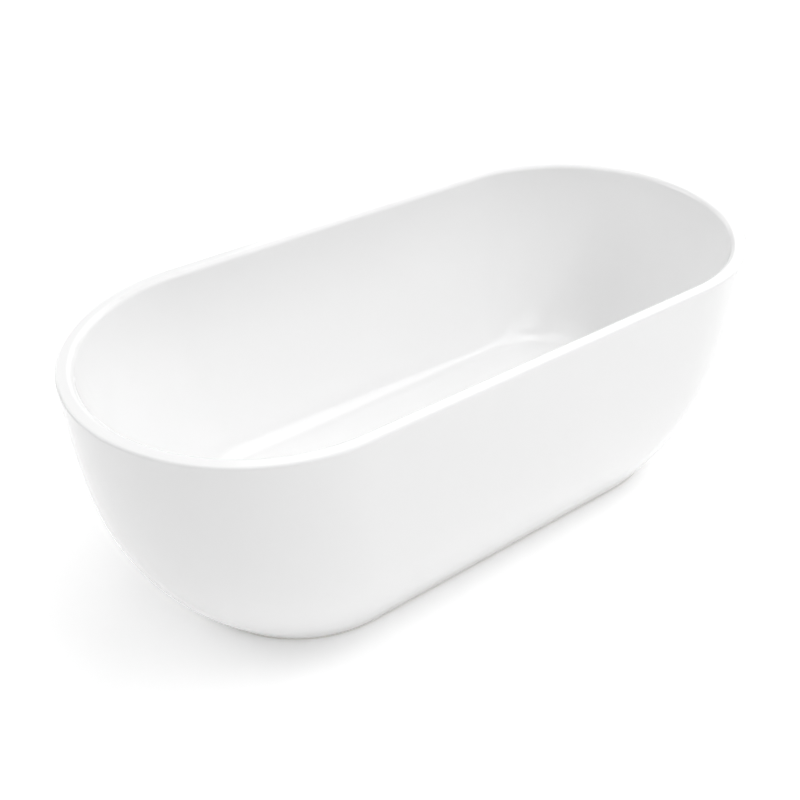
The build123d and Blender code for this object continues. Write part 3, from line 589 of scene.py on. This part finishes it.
def shell_profile():
    """Up the outside and down the inside of the shell, and closed."""
    levels = spread(shell_foot, shell_top, SHELL_LEVELS, SHELL_CROWDING)
    outside = [shell_level(z) for z in levels]
    inside = [shell_level(z, SHELL_WALL) for z in reversed(levels)]
    return outside + inside + outside[:1], len(outside)


skirt_points, skirt_back = shell_profile()
skirt = grow("bath_skirt", stadium_board, {"First back row": skirt_back}, skirt_points)


# %% [markdown]
# The basin is the part that holds water. It is level at the floor, dished a little round the waste, turns
# up in a wide bend, and ends in a rim that rolls over a 14 mm radius and meets the shell below it. One
# closed line of levels follows all of that, so the skin has no seam where a crack of light could show.

# %% Sizes of the basin
FLOOR_Z = 0.150
FLOOR_RADIUS = 0.195
FLOOR_STRAIGHT = 0.400
FLOOR_THICKNESS = 0.008
BASIN_MOUTH_RADIUS = 0.366
BASIN_SWELL = (1.3, 2.0)
BASIN_WALL = 0.006
BASIN_CROWDING = 2.0           # above 1, the levels crowd together near the floor
RIM_THICKNESS = 0.010
RIM_ROLL = 0.014
RIM_EDGE = 0.006
DISH_DEPTH = 0.004
DISH_RADII = (0.026, 0.040, 0.070)
FLOOR_RINGS, INSIDE_LEVELS, OUTSIDE_LEVELS = 12, 70, 50
ROLL_LEVELS, RIM_LEVELS, EDGE_LEVELS = 14, 4, 10
UNDERSIDE_SHARES = (0.6, 0.3, 0)
print("water depth to the rim", round(height - FLOOR_Z, 3))


# %% Levels of the basin
def basin_level(z, floor=FLOOR_Z, outset=0.0):
    """The basin wall's radius, half straight length and height at one level."""
    t = (z - floor) / (height - floor)
    radius = FLOOR_RADIUS + (BASIN_MOUTH_RADIUS - FLOOR_RADIUS) * swell(t, *BASIN_SWELL)
    return radius + outset, FLOOR_STRAIGHT + (rim_straight - FLOOR_STRAIGHT) * t, z


def floor_ring(share, z):
    """A ring on the flat floor, between the dish round the waste and the foot of the wall."""
    return DISH_RADII[2] + (FLOOR_RADIUS - DISH_RADII[2]) * share, FLOOR_STRAIGHT * share, z


def roll_over():
    """The rounded edge between the basin's wall and the rim's flat top."""
    centre_z = height - RIM_ROLL
    step = 0.0005
    slope = (basin_level(centre_z + step)[0] - basin_level(centre_z - step)[0]) / (2 * step)
    start = math.atan(slope)
    start_radius, start_straight, _ = basin_level(centre_z + RIM_ROLL * math.sin(start))
    centre_radius = start_radius + RIM_ROLL * math.cos(start)
    levels = []
    for angle in spread(start, math.pi / 2, ROLL_LEVELS):
        share = (rim_straight - start_straight) * (angle - start) / (math.pi / 2 - start)
        levels.append((centre_radius - RIM_ROLL * math.cos(angle), start_straight + share,
                       centre_z + RIM_ROLL * math.sin(angle)))
    return levels


# %% The basin
def basin_profile():
    """From the waste hole up the inside, over the rim, and back down the outside of the basin."""
    dish = FLOOR_Z - DISH_DEPTH
    hole, dish_inner, _ = DISH_RADII
    inside = [(hole, 0, dish), (dish_inner, 0, dish)]
    inside += [floor_ring(share, FLOOR_Z) for share in spread(0, 1, FLOOR_RINGS)]
    roll = roll_over()
    inside += [basin_level(z) for z in spread(FLOOR_Z, roll[0][2], INSIDE_LEVELS, BASIN_CROWDING)[1:-1]]
    edge_z = height - RIM_EDGE
    rim_in, rim_out = roll[-1][0], rim_radius - RIM_EDGE
    rim = roll + [(r, rim_straight, height) for r in spread(rim_in, rim_out, RIM_LEVELS)[1:-1]]
    rim += [(rim_out + RIM_EDGE * math.sin(a), rim_straight, edge_z + RIM_EDGE * math.cos(a))
            for a in spread(0, math.pi / 2, EDGE_LEVELS)]
    rim += [shell_level(z) for z in (edge_z - 4 * MM, edge_z - 9 * MM, shell_top)]
    under = height - RIM_THICKNESS
    rim += [shell_level(shell_top, SHELL_WALL), (rim_radius - SHELL_WALL, rim_straight, under)]
    bottom = FLOOR_Z - FLOOR_THICKNESS
    levels = reversed(spread(bottom, under, OUTSIDE_LEVELS, BASIN_CROWDING))
    outside = [basin_level(z, bottom, BASIN_WALL) for z in levels]
    for share in UNDERSIDE_SHARES:
        radius, straight, z = floor_ring(share, bottom)
        outside.append((radius + BASIN_WALL, straight, z))
    outside += [(dish_inner + BASIN_WALL, 0, bottom - DISH_DEPTH), (hole, 0, bottom - DISH_DEPTH)]
    return inside + rim + outside + inside[:1], len(inside + rim)


basin_points, basin_back = basin_profile()
basin = grow("bath_basin", stadium_board, {"First back row": basin_back}, basin_points)

# %% [markdown]
# The overflow is a 40 mm hole that is drilled square to the basin's sloping wall. The sweep could not leave
# a gap for it without bending its rows, so a boolean with a plain cylinder cuts it, as a hole saw would.


# %% The overflow hole
OVERFLOW_Z = 0.500
HOLE_RADIUS = 0.020
overflow_y = -basin_level(OVERFLOW_Z)[0]
wall_lean = math.atan((basin_level(OVERFLOW_Z + MM)[0] - basin_level(OVERFLOW_Z - MM)[0]) / (2 * MM))
overflow_out = Vector((0, math.cos(wall_lean), math.sin(wall_lean)))


def drill(piece, spot, axis, radius, depth):
    """Cut a round hole through a piece."""
    shape = bmesh.new()
    bmesh.ops.create_cone(shape, cap_ends=True, segments=48, radius1=radius, radius2=radius, depth=depth)
    shape.transform(axis.to_track_quat("Z", "Y").to_matrix().to_4x4())
    bmesh.ops.translate(shape, verts=shape.verts, vec=spot)
    cutter = bpy.data.objects.new("hole_saw", bpy.data.meshes.new("hole_saw"))
    shape.to_mesh(cutter.data)
    shape.free()
    cutter.data.materials.append(finishes["acrylic"])
    scene.collection.objects.link(cutter)
    cut = piece.modifiers.new("hole", "BOOLEAN")
    cut.object = cutter
    cut.operation = "DIFFERENCE"
    bpy.context.view_layer.update()
    ready = piece.evaluated_get(bpy.context.evaluated_depsgraph_get())
    mesh = bpy.data.meshes.new_from_object(ready)
    piece.modifiers.clear()
    piece.data = mesh
    bpy.data.objects.remove(cutter)
    print("drilled", piece.name, "faces", len(mesh.polygons))


drill(basin, (0, overflow_y, OVERFLOW_Z), overflow_out, HOLE_RADIUS, 4 * BASIN_WALL)
seat(skirt, "bath", "acrylic", "outer_shell")
seat(basin, "bath", "acrylic", "inner_basin")

# %% [markdown]
# ## Turned parts: threads and grip ribs
#
# A threaded stud and a ribbed nut are both turned about an axis, and both have a ridge that repeats with
# the angle. On a thread the ridge also climbs one pitch a turn. Blender's Screw modifier could make the
# thread and an Array the ribs, but one tree makes both: each level of the profile has a radius and a ridge
# depth, and the ridge's phase is the angle times the ribs plus the height times the turns a metre.

# %% The turning tree
TURN_STEPS = 24
TURN_WELD_DISTANCE = 0.000002


def turning_tree():
    """Turn a line of (radius, ridge depth, height) points about an upright axis."""
    board, given = new_tree("turning", {
        "Steps": TURN_STEPS, "Ribs": 1, "Turns a metre": 0.0, "Centre X": 0.0, "Centre Y": 0.0,
        "Finish": finishes["zinc_steel"]})
    steps = given["Steps"]
    rows = board.node("GeometryNodeAttributeDomainSize", {"component": "MESH"}, {0: given["Geometry"]})
    grid = board.node("GeometryNodeMeshGrid", {}, {
        "Size X": 1.0, "Size Y": 1.0, "Vertices X": steps + 1, "Vertices Y": rows})
    spot = board.node("GeometryNodeInputPosition")
    split = board.node("ShaderNodeSeparateXYZ", {}, {0: spot})
    turn = split + 0.5
    row = ((board.pin(split, 1) + 0.5) * (rows - 1)).nearest()
    level = board.node("GeometryNodeSampleIndex", {"data_type": "FLOAT_VECTOR", "domain": "POINT"}, {
        0: given["Geometry"], "Value": spot, "Index": row})
    level = board.node("ShaderNodeSeparateXYZ", {}, {0: level})
    ridge, level_z = board.pin(level, 1), board.pin(level, 2)
    phase = (turn * given["Ribs"] + level_z * given["Turns a metre"]).fraction()
    radius = level - ridge * ((phase - 0.5).size() * 2)
    angle = turn * (2 * math.pi)
    target = board.node("ShaderNodeCombineXYZ", {}, {
        0: angle.cos() * radius + given["Centre X"],
        1: angle.sin() * radius + given["Centre Y"], 2: level_z})
    placed = board.node("GeometryNodeSetPosition", {}, {"Geometry": grid, "Position": target})
    merged = board.node("GeometryNodeMergeByDistance", {}, {
        "Geometry": placed, "Distance": TURN_WELD_DISTANCE})
    close_tree(board, shade(board, merged), given["Finish"])
    return board


turning_board = turning_tree()
print("turning tree", len(turning_board.tree.nodes), "nodes")

# %% [markdown]
# Each foot's stud is M10: a ridge of 1.5 mm pitch, and a hexagon near its foot for the spanner. The stud
# turns in the frame's nut, so it rides on its own body.

# %% Foot studs
STUD_RADIUS = 0.005
THREAD_PITCH = 0.0015
THREAD_DEPTH = 0.0009
THREAD_ROWS = 5                # levels in one pitch
TIP = 0.001
HEX_LOW, HEX_HIGH = 0.014, 0.020
HEX_EDGE = 0.0006


def capped(rings):
    """Close a profile at both ends on its axis."""
    return [(0, 0, rings[0][2])] + rings + [(0, 0, rings[-1][2])]


def stud_profile(low, high, radius):
    """Threaded levels between two chamfered tips."""
    count = round((high - low - 2 * TIP) / THREAD_PITCH * THREAD_ROWS)
    thread = [(radius, THREAD_DEPTH, z) for z in spread(low + TIP, high - TIP, count)]
    return capped([(radius - TIP, 0, low)] + thread + [(radius - TIP, 0, high)])


for number in range(1, 6):
    node_name = f"foot_stud_{number}"
    low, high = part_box(node_name)
    centre = {"Centre X": (low.x + high.x) / 2, "Centre Y": (low.y + high.y) / 2}
    thread = grow(f"foot_{number}_thread", turning_board,
                  {"Turns a metre": 1 / THREAD_PITCH, **centre}, stud_profile(low.z, high.z, STUD_RADIUS))
    hex_radius = max(high.x - low.x, high.y - low.y) / 2
    hexagon = grow(f"foot_{number}_hexagon", turning_board, {"Steps": 6, **centre}, capped([
        (hex_radius - HEX_EDGE, 0, HEX_LOW), (hex_radius, 0, HEX_LOW + HEX_EDGE),
        (hex_radius, 0, HEX_HIGH - HEX_EDGE), (hex_radius - HEX_EDGE, 0, HEX_HIGH)]))
    seat(thread, f"foot_{number}_stud", "zinc_steel", node_name)
    seat(hexagon, f"foot_{number}_stud", "zinc_steel")

# %% [markdown]
# The trap's two union nuts are tightened by hand, so they have grip ribs. The profile goes up the outside
# and down the bore, and only the outside levels have a ridge depth.

# %% Union nuts
GRIP_RIBS = 28
GRIP_DEPTH = 0.0022
NUT_EDGE = 0.0015
STEPS_PER_RIB = 6


def union_nut(node_name, lip_bore, thread_bore, lip):
    """A ribbed ring nut with a lip at its foot."""
    low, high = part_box(node_name)
    radius = (high.x - low.x) / 2
    centre = {"Centre X": (low.x + high.x) / 2, "Centre Y": (low.y + high.y) / 2}
    root = radius - GRIP_DEPTH
    outside = [(root - NUT_EDGE, 0, low.z), (root, 0, low.z + NUT_EDGE / 2),
               (radius, GRIP_DEPTH, low.z + NUT_EDGE), (radius, GRIP_DEPTH, high.z - NUT_EDGE),
               (root, 0, high.z - NUT_EDGE / 2), (root - NUT_EDGE, 0, high.z)]
    step_z = low.z + lip
    bore = [(thread_bore, 0, high.z), (thread_bore, 0, step_z), (lip_bore, 0, step_z), (lip_bore, 0, low.z)]
    nut = grow(node_name + "_ribbed", turning_board, {
        "Steps": GRIP_RIBS * STEPS_PER_RIB, "Ribs": GRIP_RIBS,
        "Finish": finishes["white_plastic"], **centre},
        outside + bore + outside[:1])
    seat(nut, "bath", "white_plastic", node_name)


union_nut("trap_inlet_nut", lip_bore=0.0198, thread_bore=0.02395, lip=0.00395)
union_nut("trap_outlet_nut", lip_bore=0.0202, thread_bore=0.02405, lip=0.003)

# %% [markdown]
# ## The overflow hose
#
# The hose is corrugated so that it bends without closing. A bevelled curve would be a smooth tube, and an
# array of rings would not bend evenly. So its path is one smooth curve that the route's points pull into
# shape, and the tree sweeps a circle along it with its radius in waves, and a smooth cuff at each end for
# the clips.

# %% Corrugated hose
HOSE_POINTS = (
    (0, -0.045, 0.112), (0, -0.100, 0.112), (0, -0.140, 0.082), (0, -0.195, 0.082),
    (0, -0.300, 0.145), (0, -0.350, 0.290), (0, -0.371, 0.400), (0, -0.371, 0.466))
HOSE_RADIUS = 0.0125
STEPS_PER_WAVE = 8
END_SHARE = 0.0001             # only the first and last ring lie this near an end


def hose_tree():
    """Sweep a circle along a curve, with waves in its radius between two cuffs."""
    board, given = new_tree("corrugated_hose", {
        "Rings": 150, "Radius": HOSE_RADIUS, "Depth": 0.0016, "Cuff": 0.022, "Bore": 0.0100,
        "Finish": finishes["hose_plastic"]})
    path = board.node("GeometryNodeResampleCurve", {}, {
        "Curve": given["Geometry"], "Count": given["Rings"] * STEPS_PER_WAVE})
    share = board.node("GeometryNodeSplineParameter")
    along = board.pin(share, 1)
    whole = board.node("GeometryNodeCurveLength", {}, {0: given["Geometry"]})
    wave = ((share * given["Rings"] * (2 * math.pi)).cos() * 0.5 - 0.5) * given["Depth"]
    middle = along.above(given["Cuff"]) * (whole - given["Cuff"]).above(along)
    end = share.below(END_SHARE) + share.above(1 - END_SHARE)
    radius = given["Radius"] + wave * middle - (given["Radius"] - given["Bore"]) * end
    ring = board.node("GeometryNodeCurvePrimitiveCircle", {}, {"Resolution": 28, "Radius": 1.0})
    tube = board.node("GeometryNodeCurveToMesh", {}, {
        "Curve": path, "Profile Curve": ring, "Scale": radius})
    close_tree(board, shade(board, tube, smooth_angle=50), given["Finish"])
    return board


def smooth_path(name, points):
    """A curve of one open spline that the points pull into shape."""
    curve = bpy.data.curves.new(name, "CURVE")
    curve.dimensions = "3D"
    spline = curve.splines.new("NURBS")
    spline.points.add(len(points) - 1)
    for knot, spot in zip(spline.points, points):
        knot.co = (*spot, 1)
    spline.order_u = 3
    spline.use_endpoint_u = True
    spline.resolution_u = 24
    return curve


hose = grow("hose_corrugated", hose_tree(), {}, curve=smooth_path("hose_path", HOSE_POINTS))
seat(hose, "bath", "hose_plastic", "overflow_hose")

# %% [markdown]
# ## Small repeated pieces
#
# What is left is small and many, and each is one shape that is instanced on points. First come the weld
# beads where the cross bars meet the rails. A real bead is a row of overlapping drops that froze one after
# another, so it is made as one, with drops of slightly different sizes from a fixed seed. A bent tube would
# look extruded.


# %% Weld beads
SMALLEST_DROP, LARGEST_DROP = 0.85, 1.1
BEAD_SEED = 7


def bead_tree():
    """Overlapping drops of weld along every edge of the input."""
    board, given = new_tree("weld_bead", {
        "Step": 0.0018, "Size": 0.0032, "Finish": finishes["galvanised_steel"]})
    line = board.node("GeometryNodeMeshToCurve", {}, {0: given["Geometry"]})
    spots = board.node("GeometryNodeCurveToPoints", {"mode": "LENGTH"}, {0: line, "Length": given["Step"]})
    drop = board.node("GeometryNodeMeshIcoSphere", {}, {"Radius": given["Size"], "Subdivisions": 2})
    size = board.node("FunctionNodeRandomValue", {"data_type": "FLOAT"}, {
        2: SMALLEST_DROP, 3: LARGEST_DROP, "Seed": BEAD_SEED}, out=1)
    drops = board.node("GeometryNodeInstanceOnPoints", {}, {
        "Points": spots, "Instance": shade(board, drop, smooth_angle=60), "Scale": size})
    close_tree(board, drops, given["Finish"])
    return board


bead_board = bead_tree()
rail_boxes = [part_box(name) for name in ("frame_rail_front", "frame_rail_back")]
beads = []
for bar_name in ("cross_bar_left", "cross_bar_middle", "cross_bar_right"):
    bar_low, bar_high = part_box(bar_name)
    for rail_low, rail_high in rail_boxes:
        for x in (bar_low.x - MM, bar_high.x + MM):
            beads.append([(x, rail_low.y + MM, bar_high.z - MM), (x, rail_high.y - MM, bar_high.z - MM)])
for number, bead in enumerate(beads, start=1):
    seat(grow(f"weld_bead_{number}", bead_board, {}, bead), "bath", "galvanised_steel")


# %% [markdown]
# A hose clip's band has slanted slots for its worm screw. Cutting them into a band a millimetre thick would
# need many booleans, so dark bars that stand a hair proud of it show them instead. The bars are painted
# shade, where the slots' openings would be in shadow.


# %% Worm slots in the hose clips, as painted shade
BAND_THICKNESS = 0.0010
SLOT_SLANT = 0.25


def slot_shade_ring_tree():
    """Small slanted dark bars round a circle: painted shade for a clip's worm slots."""
    # The bars' black finish is painted shade for the open slots, not a colour of the clip's band.
    board, given = new_tree("slot_shade_ring", {
        "Count": 26, "Radius": HOSE_RADIUS + BAND_THICKNESS,
        "Long": 0.0055, "Wide": 0.0012, "Proud": 0.0005, "Finish": finishes["black_plastic"]})
    ring = board.node("GeometryNodeMeshCircle", {}, {"Vertices": given["Count"], "Radius": given["Radius"]})
    bar = board.node("GeometryNodeMeshCube", {}, {"Size": board.node("ShaderNodeCombineXYZ", {}, {
        0: given["Proud"], 1: given["Wide"], 2: given["Long"]})})
    turn = board.node("GeometryNodeInputIndex") / given["Count"] * (2 * math.pi)
    lean = board.node("ShaderNodeCombineXYZ", {}, {0: SLOT_SLANT, 2: turn})
    bars = board.node("GeometryNodeInstanceOnPoints", {}, {
        "Points": ring, "Instance": bar, "Rotation": lean})
    close_tree(board, bars, given["Finish"])
    return board


slot_shade_board = slot_shade_ring_tree()
lay_along_y = Vector((0, 1, 0)).to_track_quat("Z", "X").to_matrix().to_4x4()
CLIPS = {
    "hose_clip_bottom": ((0, -0.054, 0.112), lay_along_y),
    "hose_clip_top": ((0, -0.371, 0.458), Matrix.Identity(4)),
}
for name, (spot, turn) in CLIPS.items():
    # Each clip gets its ring of dark bars, painted shade for its worm slots.
    slot_shade = grow(name + "_slots", slot_shade_board, {})
    slot_shade.data.transform(turn)
    slot_shade.data.transform(Matrix.Translation(spot))
    seat(slot_shade, "bath", "zinc_steel")


# %% [markdown]
# Eight screws go up through the rails into the base board, with their heads downwards. A head is a
# flattened ball with a cross cut into it for the driver. One screw is made inside the tree and instanced on
# eight points, which is easier to change than eight copies.

# %% Screws
HEAD_RADIUS = 0.0045
HEAD_HEIGHT = 0.003
CROSS = 0.0009
CROSS_REACH = 0.55             # the recess's arms, as a share of the head's radius


def screw_tree():
    """A domed head with a cross recess below an upright plain shank, on every point."""
    board, given = new_tree("cross_head_screw", {
        "Head radius": HEAD_RADIUS, "Head height": HEAD_HEIGHT, "Shank radius": 0.0022, "Length": 0.036,
        "Finish": finishes["zinc_steel"]})
    dome = board.node("GeometryNodeMeshUVSphere", {}, {"Segments": 24, "Rings": 16, "Radius": 1.0})
    head_size = board.node("ShaderNodeCombineXYZ", {}, {
        0: given["Head radius"], 1: given["Head radius"], 2: given["Head height"]})
    head = board.node("GeometryNodeTransform", {}, {"Geometry": dome, "Scale": head_size})
    cross = board.node("GeometryNodeJoinGeometry")
    for size in ((2, CROSS / HEAD_RADIUS, 1), (CROSS / HEAD_RADIUS, 2, 1)):
        arm = tuple(share * HEAD_RADIUS * CROSS_REACH for share in size)
        bar = board.node("GeometryNodeMeshCube", {}, {"Size": arm})
        bar = board.node("GeometryNodeTransform", {}, {
            "Geometry": bar, "Translation": (0, 0, -HEAD_HEIGHT)})
        board.tree.links.new(bar.socket, cross.socket.node.inputs[0])
    cut = board.node("GeometryNodeMeshBoolean", {"operation": "DIFFERENCE"}, {
        "Mesh 1": head, "Mesh 2": cross})
    shank = board.node("GeometryNodeMeshCylinder", {}, {
        "Vertices": 16, "Radius": given["Shank radius"], "Depth": given["Length"]})
    shank = board.node("GeometryNodeTransform", {}, {
        "Geometry": shank, "Translation": board.node("ShaderNodeCombineXYZ", {}, {2: given["Length"] / 2})})
    whole = board.node("GeometryNodeJoinGeometry", {}, {0: shade(board, cut, smooth_angle=40)})
    board.tree.links.new(shade(board, shank, smooth_angle=40).socket, whole.socket.node.inputs[0])
    screws = board.node("GeometryNodeInstanceOnPoints", {}, {
        "Points": given["Geometry"], "Instance": whole})
    close_tree(board, screws, given["Finish"])
    return board


screw_board = screw_tree()
SCREW_X = (0.395, 0.230)
board_spots = []
for low, high in rail_boxes:
    for x in SCREW_X:
        board_spots += [(side * x, (low.y + high.y) / 2, low.z) for side in (-1, 1)]
board_screws = grow("board_screws_cross_head", screw_board, {}, board_spots)
seat(board_screws, "bath", "zinc_steel", "board_screws")

# %% [markdown]
# ## Floor, light and camera
#
# The bath stands on a plain white studio floor. A curved backdrop could hide the horizon too, but from this
# height the camera sees only floor, so a wide flat sheet does.


# %% Floor
FLOOR_SIZE = 40
FLOOR_GLOW = 0.14              # a little light of its own keeps the far floor white


def studio_floor():
    """A wide white sheet under the bath."""
    bpy.ops.mesh.primitive_plane_add(size=FLOOR_SIZE, location=(0, 0, 0))
    floor = bpy.context.object
    floor.name = "studio_floor"
    material, _, _ = new_finish("studio_white", Roughness=0.9, Base_Color=(0.99, 0.99, 0.99, 1),
                                Emission_Color=(1, 1, 1, 1), Emission_Strength=FLOOR_GLOW)
    floor.data.materials.append(material)
    return floor


print("floor", tuple(studio_floor().dimensions))


# %% [markdown]
# White acrylic shows its shape only through its reflections and its shading. One sun would leave hard
# shadows, and an even sky would leave none at all. So nine large soft boxes stand round the bath at one
# distance, each with its own strength, and a weak white sky fills what they leave.


# %% Lights
def soft_box(name, place_at, aim, size, power):
    """A large square area light that faces a point."""
    light = bpy.data.lights.new(name, "AREA")
    light.shape = "RECTANGLE"
    light.size = light.size_y = size
    light.energy = power
    lamp = bpy.data.objects.new(name, light)
    lamp.location = place_at
    direction = Vector(aim) - Vector(place_at)
    lamp.rotation_euler = direction.to_track_quat("-Z", "Y").to_euler()
    scene.collection.objects.link(lamp)
    return lamp


# azimuth and elevation in degrees, and strength in watts, of each soft box; azimuth 0 is the -Y side
STUDIO = {
    "front": (0, 35, 108), "right": (90, 35, 130), "right_low": (90, 12, 30),
    "high_right": (45, 60, 170),
    "back_right": (135, 35, 110), "back_left": (225, 30, 150), "back_low": (180, 12, 90),
    "left": (290, 60, 55), "top": (0, 88, 130),
}
BOX_DISTANCE = 8.0
BOX_SIZE = 4.8
middle = Vector((0, 0, height / 2))
for name, (azimuth, elevation, watts) in STUDIO.items():
    turn, rise = math.radians(azimuth), math.radians(elevation)
    toward = Vector((math.sin(turn) * math.cos(rise), -math.cos(turn) * math.cos(rise), math.sin(rise)))
    box = soft_box("soft_box_" + name, middle + toward * BOX_DISTANCE, middle, BOX_SIZE, watts)
    box.visible_camera = False
print("soft boxes", len(STUDIO), "watts", sum(box[2] for box in STUDIO.values()))

# %% Sky
SKY_STRENGTH = 0.25
world = bpy.data.worlds.new("studio")
scene.world = world
world.use_nodes = True
world.node_tree.nodes["Background"].inputs["Color"].default_value = (1, 1, 1, 1)
world.node_tree.nodes["Background"].inputs["Strength"].default_value = SKY_STRENGTH
scene.view_settings.view_transform = "Standard"
print("sky", SKY_STRENGTH, "view transform", scene.view_settings.view_transform)

# %% [markdown]
# The camera looks down on the bath from one end of its long side, as a buyer would who walks up to it. It
# could track an empty object, but a direction worked out from two angles needs no constraint and no second
# object.

# %% Camera
AZIMUTH = math.radians(-37.2)
ELEVATION = math.radians(35.0)
DISTANCE = 2.611
target = Vector((-0.079, 0.014, height / 2))
away = Vector((math.sin(AZIMUTH) * math.cos(ELEVATION), -math.cos(AZIMUTH) * math.cos(ELEVATION),
               math.sin(ELEVATION)))
camera = bpy.data.objects.new("camera", bpy.data.cameras.new("camera"))
camera.data.lens = 50
camera.data.sensor_width = 36
camera.location = target + away * DISTANCE
camera.rotation_euler = (-away).to_track_quat("-Z", "Y").to_euler()
scene.collection.objects.link(camera)
scene.camera = camera
print("camera at", tuple(round(v, 3) for v in camera.location), "lens", camera.data.lens)
